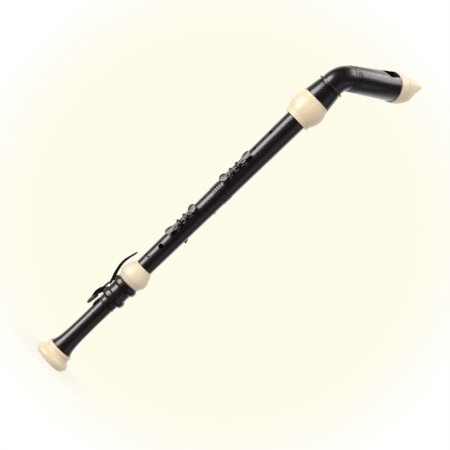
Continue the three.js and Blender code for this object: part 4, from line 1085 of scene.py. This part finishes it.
# %% Slit of the windway, and softening
slit_foot = Vector((0, -(windway_floor + windway_height / 2), hollow_end - 1)) * mm
slit_end = Vector((0, -(chin_tip + crown_tip) / 2, beak_tip + 1)) * mm
slit = start_rectangle("slit", windway_width, windway_height, slit_foot)
extrude(slit_end - slit_foot)
close_skin()
combine(beak, slit)
face_size, sanding_strokes = 0.5 * mm, 8
rebuild = beak.modifiers.new("rebuild", "REMESH")
rebuild.mode = "VOXEL"
rebuild.voxel_size = face_size
sanding = beak.modifiers.new("sanding", "SMOOTH")
sanding.factor = 0.5
sanding.iterations = sanding_strokes
apply_modifiers(beak)
put(beak, head_place)
finish_piece(beak, "ivory_plastic", "beak_cap", smooth=80)

# %% [markdown]
# ## Keys
# Each key is two levers that rock against each other like a pair of see-saws: the finger presses
# the touch, its inner end lifts the inner end of the other lever, and that lever's cup closes its
# hole. A lever is a moulded bar. A box stretched and bent would get uneven faces, so a small
# plane is the bar's section, extruded station by station along the bar, and made wider or
# thicker on the way. Its hub, its nub and its cup are turned pieces that are joined on, and the
# pin's bore is drilled last.

# %% A lever's bar
def level_at(line, along):
    """The height of a line of points over a place along it."""
    for (start, low), (end, high) in zip(line, line[1:]):
        if start <= along <= end:
            return low + (high - low) * (along - start) / max(end - start, 1e-9)
    return line[0][1] if along < line[0][0] else line[-1][1]


def bar(name, line, plan, thickness_at, steps=30, edge=0.45):
    """A bar along a side line, with its half width from a plan, both drawn from low to high."""
    side = smooth_line(line, 120)
    stations = smooth_line(plan, steps)
    sections = []
    for along, half in stations:
        out = level_at(side, along)
        slope = (level_at(side, along + 0.2) - level_at(side, along - 0.2)) / 0.4
        tall = thickness_at(along) * math.sqrt(1 + min(slope, 1.5) ** 2)
        sections.append((along, out, max(half, 0.3), tall))
    along, out, half, tall = sections[0]
    piece = start_rectangle(name, 2 * half, tall, Vector((0, -out, along)) * mm)
    for next_along, next_out, next_half, next_tall in sections[1:]:
        extrude(Vector((0, out - next_out, next_along - along)) * mm)
        middle_of_end = Vector((0, -next_out, next_along)) * mm
        grow = (next_half / half, next_tall / tall, 1)
        bpy.ops.transform.resize(value=grow, center_override=middle_of_end)
        along, out, half, tall = next_along, next_out, next_half, next_tall
    close_skin()
    round_edges(piece, edge)
    return piece


# %% Hub, nub and web
hub_radius, hub_width, pin_radius, pin_play = 2.4, 5.9, 1.0, 0.3
arm_thickness, arm_half_width = 1.8, 2.3
nub_radius, nub_width, touch_web_half, drilled_length = 1.2, 4.2, 1.6, 16
lie_across = Matrix.Rotation(math.pi / 2, 4, "Y")


def cross_rod(name, radius, length, out, along, edge=0.25, sides=40):
    """A short rod across the key, at a place given by its distance out and along."""
    half = length / 2
    outline = [(0, -half), (radius, -half), (radius, half), (0, half)]
    rod = turned_piece(name, softened(outline, edge), sides)
    put(rod, Matrix.Translation(Vector((0, -out, along)) * mm) @ lie_across)
    return rod


def straight(along_low, along_high, out, half):
    """The line and the plan of a straight bar of one width."""
    middle_along = (along_low + along_high) / 2
    alongs = (along_low, middle_along, along_high)
    return [(along, out) for along in alongs], [(along, half) for along in alongs]


def add_hub(piece):
    """Joins the hub on at the pivot and drills it for its pin."""
    combine(piece, cross_rod("hub", hub_radius, hub_width, 0, 0), "UNION")
    combine(piece, cross_rod("pin_bore", pin_radius + pin_play, drilled_length, 0, 0, 0))


def add_web(piece, half_length, height):
    """Joins on the short block between the hub and the bar above it."""
    width = 2 * arm_half_width
    combine(piece, wedge("web", -half_length, half_length, width, width, 0, height), "UNION")


# %% Touch lever
def touch_plan(inner_arm, centre, length, half):
    """The touch seen from the front: a slim arm that widens to a leaf and closes to a soft tip."""
    return [
        (-inner_arm, arm_half_width), (0, arm_half_width),
        (centre - half * 1.6, arm_half_width), (centre - half * 0.6, half * 0.86),
        (centre + (length - centre) * 0.25, half), (centre + (length - centre) * 0.8, half * 0.66),
        (length, 0.4),
    ]


def touch_lever(name, line, plan, thickness_at, nub_out, inner_arm, root_rise):
    """The lever that the finger presses, in the frame of its own pivot."""
    piece = bar(name, line, plan, thickness_at, 44)
    combine(piece, cross_rod("nub", nub_radius, nub_width, nub_out, -inner_arm), "UNION")
    if root_rise:
        add_web(piece, touch_web_half, root_rise)
    add_hub(piece)
    return piece


# %% Pad lever and its cup
pad_thickness = 2.4
cup_sides = 72


def pad_lever(name, reach, inner_arm, nub_out, tongue_thickness, arm_line, thickness_at, cup_radius,
              cup_wall, swing):
    """The lever that carries the cup, in the frame of its own pivot."""
    plan = [(-reach - cup_radius * 0.4, arm_half_width * 0.8), (-reach * 0.75, arm_half_width * 0.95),
            (-reach * 0.5, arm_half_width), (0, arm_half_width)]
    piece = bar(name, arm_line, plan, thickness_at)
    low_face = nub_out + nub_radius + seat
    tongue_line, tongue_plan = straight(
        -nub_radius, inner_arm + nub_radius, low_face + tongue_thickness / 2, arm_half_width)
    tongue = bar("tongue", tongue_line, tongue_plan, lambda along: tongue_thickness, 4, 0.3)
    combine(piece, tongue, "UNION")
    add_web(piece, nub_radius, low_face + 0.7)
    cup = turned_piece("cup", softened(cup_wall, 0.35), cup_sides)
    put(cup, over_hole(reach, swing))
    combine(piece, cup, "UNION")
    add_hub(piece)
    return piece


def pad_disc(name, radius, top, edge, sides):
    """A soft pad: a disc with well rounded edges."""
    low = top - pad_thickness
    return turned_piece(name, softened([(0, low), (radius, low), (radius, top), (0, top)], edge), sides)


def over_hole(reach, swing):
    """Where the cup and the pad lie on the lever: flat on the hole once the lever has closed."""
    tip_back = Matrix.Rotation(-swing / 2, 4, "X")
    return tip_back @ Matrix.Translation((0, 0, -reach * mm)) @ Matrix.Rotation(math.pi / 2, 4, "X")


def cup_outline(radius, top, thickness, crown, rim_depth):
    """A shallow cup with a slightly domed back, open towards the pad."""
    rim_radius = radius - 0.8
    back = top + thickness
    dome = [(radius * share, back + crown * up) for share, up in ((0.75, 0.5), (0.45, 0.86))]
    return [
        (0, top), (rim_radius, top), (rim_radius, top - rim_depth), (radius, top - rim_depth),
        (radius, top + thickness / 2), (radius - thickness / 2, back), *dome, (0, back + crown),
    ]


# %% Where a key stands, and its pins
def key_place(height, angle, turned_over, pivot_along, pivot_out, tilt):
    """The frame of a pivot: +Z leads to the touch and -Y leads out."""
    flip = math.pi if turned_over else 0
    return (Matrix.Translation((0, 0, height * mm)) @ Matrix.Rotation(math.radians(angle), 4, "Z")
            @ Matrix.Rotation(flip, 4, "Y") @ Matrix.Translation((0, -pivot_out * mm, pivot_along * mm))
            @ Matrix.Rotation(tilt, 4, "X"))


def pin_for(node, matrix, length):
    """A drawn steel pin with domed ends."""
    half = length / 2
    ends = [(0, -half), (0.7, -half + 0.12), (pin_radius, -half + 0.5)]
    outline = ends + [(radius, -along) for radius, along in reversed(ends)]
    pin = turned_piece(node + "_turned", outline, 24)
    put(pin, matrix @ lie_across)
    finish_piece(pin, "pin_steel", node, smooth=50)


# %% [markdown]
# ## Keys of the middle joint
# The two keys of the middle joint are alike. The upper one's touch points up and the lower one's
# points down, so that the two hands meet them in the same way. They stand a little to the right
# of the front, where the finger holes are. A mirrored copy would turn its faces inside out, so
# both are made by the same few lines, and the lower one is turned over by its place.

# %% Sizes of the middle keys
pivot_gap_half, pivot_rise, middle_nub_out = 7.4, 6.2, -1.6
touch_centre, touch_end, touch_half_width = 21, 31, 6.3
pad_reach, pad_lift, pad_radius, cup_radius = 18.4, 3.2, 7.5, 8.6
middle_swing = math.asin(pad_lift / pad_reach)
print("the cups of the middle keys swing", round(math.degrees(middle_swing), 1), "degrees")


def middle_place(height, turned_over, along, tilt=0):
    """The frame of a pivot of a middle key."""
    pivot_out = middle_radius(height) + pivot_rise
    return key_place(height, key_angle, turned_over, along, pivot_out, tilt)


def even_thickness(along):
    """The thickness of the middle keys' bars, the same all along."""
    return arm_thickness


# %% Touch of a middle key
def middle_touch(part, height, turned_over):
    """The finger's lever: its arm rises from the nub, and its leaf lies nearly level."""
    line = [(-pivot_gap_half, middle_nub_out), (-4.4, -1.45), (0, 0), (10.5, 0.7),
            (touch_centre, 0), (touch_end, 0.7)]
    plan = touch_plan(pivot_gap_half, touch_centre, touch_end, touch_half_width)
    touch = touch_lever(part + "_touch", line, plan, even_thickness, middle_nub_out, pivot_gap_half, 0)
    put(touch, middle_place(height, turned_over, pivot_gap_half, middle_swing / 2))
    finish_piece(touch, "key_plastic", part + "_touch_lever")


# %% Cup lever and pad of a middle key
def middle_closer(part, height, turned_over):
    """The cup's lever, with the pad in its cup, standing open over its hole."""
    hole_height = height + (hole_from_key if turned_over else -hole_from_key)
    pivot_out = middle_radius(height) + pivot_rise
    pad_top = middle_radius(hole_height) + seat_rise + seat + pad_thickness - pivot_out
    cup_top = pad_top + seat
    cup_rise = cup_top + 0.7 + pad_reach * math.sin(middle_swing / 2)
    line = [(-pad_reach - 3.4, cup_rise - 0.1), (-pad_reach, cup_rise),
            (-15.6, cup_rise * 0.94 + 0.1), (-7.7, cup_rise * 0.5 + 0.5), (0, 0)]
    cup_wall = cup_outline(cup_radius, cup_top, 1.2, 0.5, 1.2)
    closer = pad_lever(part + "_closer", pad_reach, pivot_gap_half, middle_nub_out, 1.5, line,
                       even_thickness, cup_radius, cup_wall, middle_swing)
    pad_frame = middle_place(height, turned_over, -pivot_gap_half, -middle_swing / 2)
    put(closer, pad_frame)
    finish_piece(closer, "key_plastic", part + "_pad_lever")
    pad = pad_disc(part + "_pad_disc", pad_radius, pad_top, 0.8, 60)
    put(pad, pad_frame @ over_hole(pad_reach, middle_swing))
    finish_piece(pad, "pad_skin", part + "_pad")


# %% Pins and leaf springs of a middle key
cheek_thickness, leaf_thickness, leaf_half_width = 2.1, 0.4, 1.5
middle_pin_length = hub_width + 2 * (seat + cheek_thickness) + seat
leaf_shape = [(2.7, -1.7), (5.2, -3.2), (7.7, -4.0)]


def pins_and_springs(part, height, turned_over):
    """A pin at each pivot, and a leaf spring that lies under each lever."""
    for pivot, way in (("pad", -1), ("touch", 1)):
        here = middle_place(height, turned_over, way * pivot_gap_half)
        pin_for(f"{part}_{pivot}_pin", here, middle_pin_length)
        line = sorted((way * along, out) for along, out in leaf_shape)
        plan = [(along, leaf_half_width) for along, _ in line]
        leaf = bar(f"{part}_{pivot}_leaf", line, plan, lambda along: leaf_thickness, 12, 0.1)
        put(leaf, here)
        finish_piece(leaf, "spring_steel", f"{part}_{pivot}_spring")


# %% Both middle keys
for part, height, turned_over in (("upper", upper_key, False), ("lower", lower_key, True)):
    middle_touch(part, height, turned_over)
    middle_closer(part, height, turned_over)
    pins_and_springs(part, height, turned_over)

# %% [markdown]
# ## Key of the foot joint
# The foot key is the largest, for the little finger. Its long touch starts thick at the hub,
# arches over the ivory ring and thins out to its tip, and its cup is a full dome. The same lever
# tools make it, with a thickness that changes along the bar. Its flat spring is plain in the CAD
# already, so that one is shown, in its steel finish.

# %% Touch of the foot key
foot_contact, foot_pivot_out, foot_nub_out = 173.5, 21.2, 1
foot_touch_arm, foot_pad_arm, foot_pad_reach, foot_pad_lift = 15.8, 12.8, 28.2, 3.9
foot_touch_centre, foot_touch_end, foot_touch_half_width = 49, 58, 5.6
foot_swing = math.asin(foot_pad_lift / foot_pad_reach)
touch_swing = math.asin(math.sin(foot_swing) * foot_pad_arm / foot_touch_arm)
arch, arch_root = 8.6, 0.45
arch_shares = [(0.08, 0.6), (0.19, 0.77), (0.36, 0.97), (0.48, 1), (0.62, 0.89), (0.89, 0.42)]
foot_touch_line = [
    (-foot_touch_arm, foot_nub_out), (-14, 1.05), (-13, 2.4), (-6, 3.7),
    *((foot_touch_end * along, arch * up + 1.6) for along, up in arch_shares), (foot_touch_end, 3)]
foot_touch_depths = [(-foot_touch_arm, 1.8), (-14, 1.8), (-13, 4.6), (0, 6.2), (10, 5.6), (24, 5),
                     (36, 4.2), (47, 3.2), (foot_touch_end, 2.6)]


def foot_touch_thickness(along):
    """Thick at the hub and thin at the tip."""
    return level_at(foot_touch_depths, along)


def foot_place(along, tilt=0):
    """The frame of a pivot of the foot key."""
    return key_place(foot_contact, foot_angle, False, along, foot_pivot_out, tilt)


foot_plan = touch_plan(foot_touch_arm, foot_touch_centre, foot_touch_end, foot_touch_half_width)
foot_touch = touch_lever("foot_touch", foot_touch_line, foot_plan, foot_touch_thickness,
                         foot_nub_out, foot_touch_arm, arch * arch_root)
put(foot_touch, foot_place(foot_touch_arm, touch_swing / 2))
finish_piece(foot_touch, "key_plastic", "foot_touch_lever")

# %% Pad lever, pad and pins of the foot key
foot_cup_radius, foot_pad_radius, foot_pin_length = 12.4, 11.3, 16
foot_pad_top = foot_seat_top + seat + pad_thickness - foot_pivot_out
foot_cup_top = foot_pad_top + seat
foot_cup_rise = foot_cup_top + 2.5 + foot_pad_reach * math.sin(foot_swing / 2)
foot_arm_line = [
    (-foot_pad_reach - 5, foot_cup_rise - 0.4), (-foot_pad_reach, foot_cup_rise),
    (-20, foot_cup_rise + 0.9), (-16.5, 4.9), (-14, 4.6), (-10, 3.8), (-5, 2.9), (0, 1.8)]
foot_arm_depths = [(-34, 1.6), (-28, 3), (-20, 6.4), (-16.5, 7.4), (-14, 8.4), (-10, 9.4),
                   (-5, 9.6), (0, 7)]


def foot_arm_thickness(along):
    """Deepest near the hub, where the arm rests over the slot."""
    return level_at(foot_arm_depths, along)


foot_cup_wall = cup_outline(foot_cup_radius, foot_cup_top, 1.5, 2.6, 1.4)
foot_closer = pad_lever("foot_closer", foot_pad_reach, foot_pad_arm, foot_nub_out, 3.4, foot_arm_line,
                        foot_arm_thickness, foot_cup_radius, foot_cup_wall, foot_swing)
foot_pad_frame = foot_place(-foot_pad_arm, -foot_swing / 2)
put(foot_closer, foot_pad_frame)
finish_piece(foot_closer, "key_plastic", "foot_pad_lever")
foot_pad = pad_disc("foot_pad_disc", foot_pad_radius, foot_pad_top, 0.9, cup_sides)
put(foot_pad, foot_pad_frame @ over_hole(foot_pad_reach, foot_swing))
finish_piece(foot_pad, "pad_skin", "foot_pad")
for pivot, along in (("pad", -foot_pad_arm), ("touch", foot_touch_arm)):
    pin_for(f"foot_{pivot}_pin", foot_place(along), foot_pin_length)

# %% [markdown]
# ## Corks and fittings
# The corks are sleeves between the lips of the tenons, so they are turned too. The saddles that
# carry the middle keys, and the thumb rest on the back, are thin moulded plates. They could be
# drawn again, but their CAD meshes already have the right shape, so each gets a merged copy
# whose edges are rounded. The thumb rest's hook is drawn in a little, as the real one is slim.
# The strap eye is a ring of wire on a short stem: a torus joined to a turned foot.

# %% Corks
cork_thickness, lip_width = 1.2, 4.3
corks = {
    "lower": (middle_foot, -36.3, Matrix()), "upper": (middle_top, 36, Matrix()),
    "neck": (neck_shoulder, -neck_tenon_length, Matrix()),
    "head": (head_shoulder, head_tenon_length, head_place),
}
for tenon_name, (shoulder, length, matrix) in corks.items():
    node_name = tenon_name + "_tenon_cork"
    outer = cork_radius_of[tenon_name]
    inner = outer - cork_thickness
    way = math.copysign(1, length)
    near, far = shoulder + way * lip_width, shoulder + length - way * lip_width
    sleeve_outline = [(inner, near), (outer, near), (outer, far), (inner, far)]
    cork = turned_piece(node_name + "_sleeve", softened(sleeve_outline, 0.3))
    put(cork, matrix)
    finish_piece(cork, "cork", node_name)

# %% Plates
hook_shares = (0.75, 0.5, 1)


def draw_in_hook(piece, hook_from):
    """Draws all that stands out behind hook_from in towards it, and a little narrower."""
    mesh = bmesh.from_edit_mesh(piece.data)
    for corner in mesh.verts:
        corner.select_set(corner.co.y > hook_from * mm)
    mesh.select_flush_mode()
    bmesh.update_edit_mesh(piece.data)
    bpy.ops.transform.resize(value=hook_shares, center_override=(0, hook_from * mm, 0))


def rounded_copy(name, node_name, edge, hook_from=None):
    """A copy of a CAD mesh, merged into one skin, with flat faces joined and edges rounded."""
    piece = bpy.data.objects.new(name, frame["nodes"][node_name].data.copy())
    bpy.context.scene.collection.objects.link(piece)
    select_only(piece)
    bpy.ops.object.mode_set(mode="EDIT")
    bpy.ops.mesh.select_all(action="SELECT")
    bpy.ops.mesh.remove_doubles(threshold=joined)
    bpy.ops.mesh.dissolve_limited(angle_limit=math.radians(1))
    if hook_from:
        draw_in_hook(piece, hook_from)
    bpy.ops.object.mode_set(mode="OBJECT")
    round_edges(piece, edge, segments=2)
    finish_piece(piece, "key_plastic", node_name, smooth=35)


rounded_copy("upper_saddle", "upper_key_saddle", 0.3)
rounded_copy("lower_saddle", "lower_key_saddle", 0.3)
rounded_copy("thumb_rest_plate", "thumb_rest", 0.5, hook_from=20.5)

# %% Strap eye
strap_height = sum(span_of("strap_eye")) / 2
strap_base = middle_radius(strap_height) + seat
eye_radius, wire_radius, stem_height, stem_radius_low, stem_radius_top = 4.4, 1.1, 1.2, 2.2, 1.5
bpy.ops.object.select_all(action="DESELECT")
bpy.ops.mesh.primitive_torus_add(
    major_radius=eye_radius * mm, minor_radius=wire_radius * mm, major_segments=64,
    minor_segments=24, location=(0, 0, 0), rotation=(0, math.pi / 2, 0))
strap_eye = bpy.context.object
strap_eye.name = "strap_ring"
eye_centre = strap_base + stem_height + eye_radius
put(strap_eye, Matrix.Translation((0, eye_centre * mm, strap_height * mm)))
stem_outline = [
    (0, strap_base), (stem_radius_low, strap_base), (stem_radius_low, strap_base + 0.7),
    (stem_radius_top, strap_base + 1.5), (0, strap_base + 2),
]
stem = turned_piece("stem", softened(stem_outline, 0.3), 40)
put(stem, facing_out(180, strap_height))
combine(strap_eye, stem, "UNION")
finish_piece(strap_eye, "pin_steel", "strap_eye")

# %% [markdown]
# ## Finish
# The box of the dressed recorder is measured over all the shown pieces, leaving out the floor.
# The dressed one must lie inside it.

# %% Finish
low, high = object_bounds()
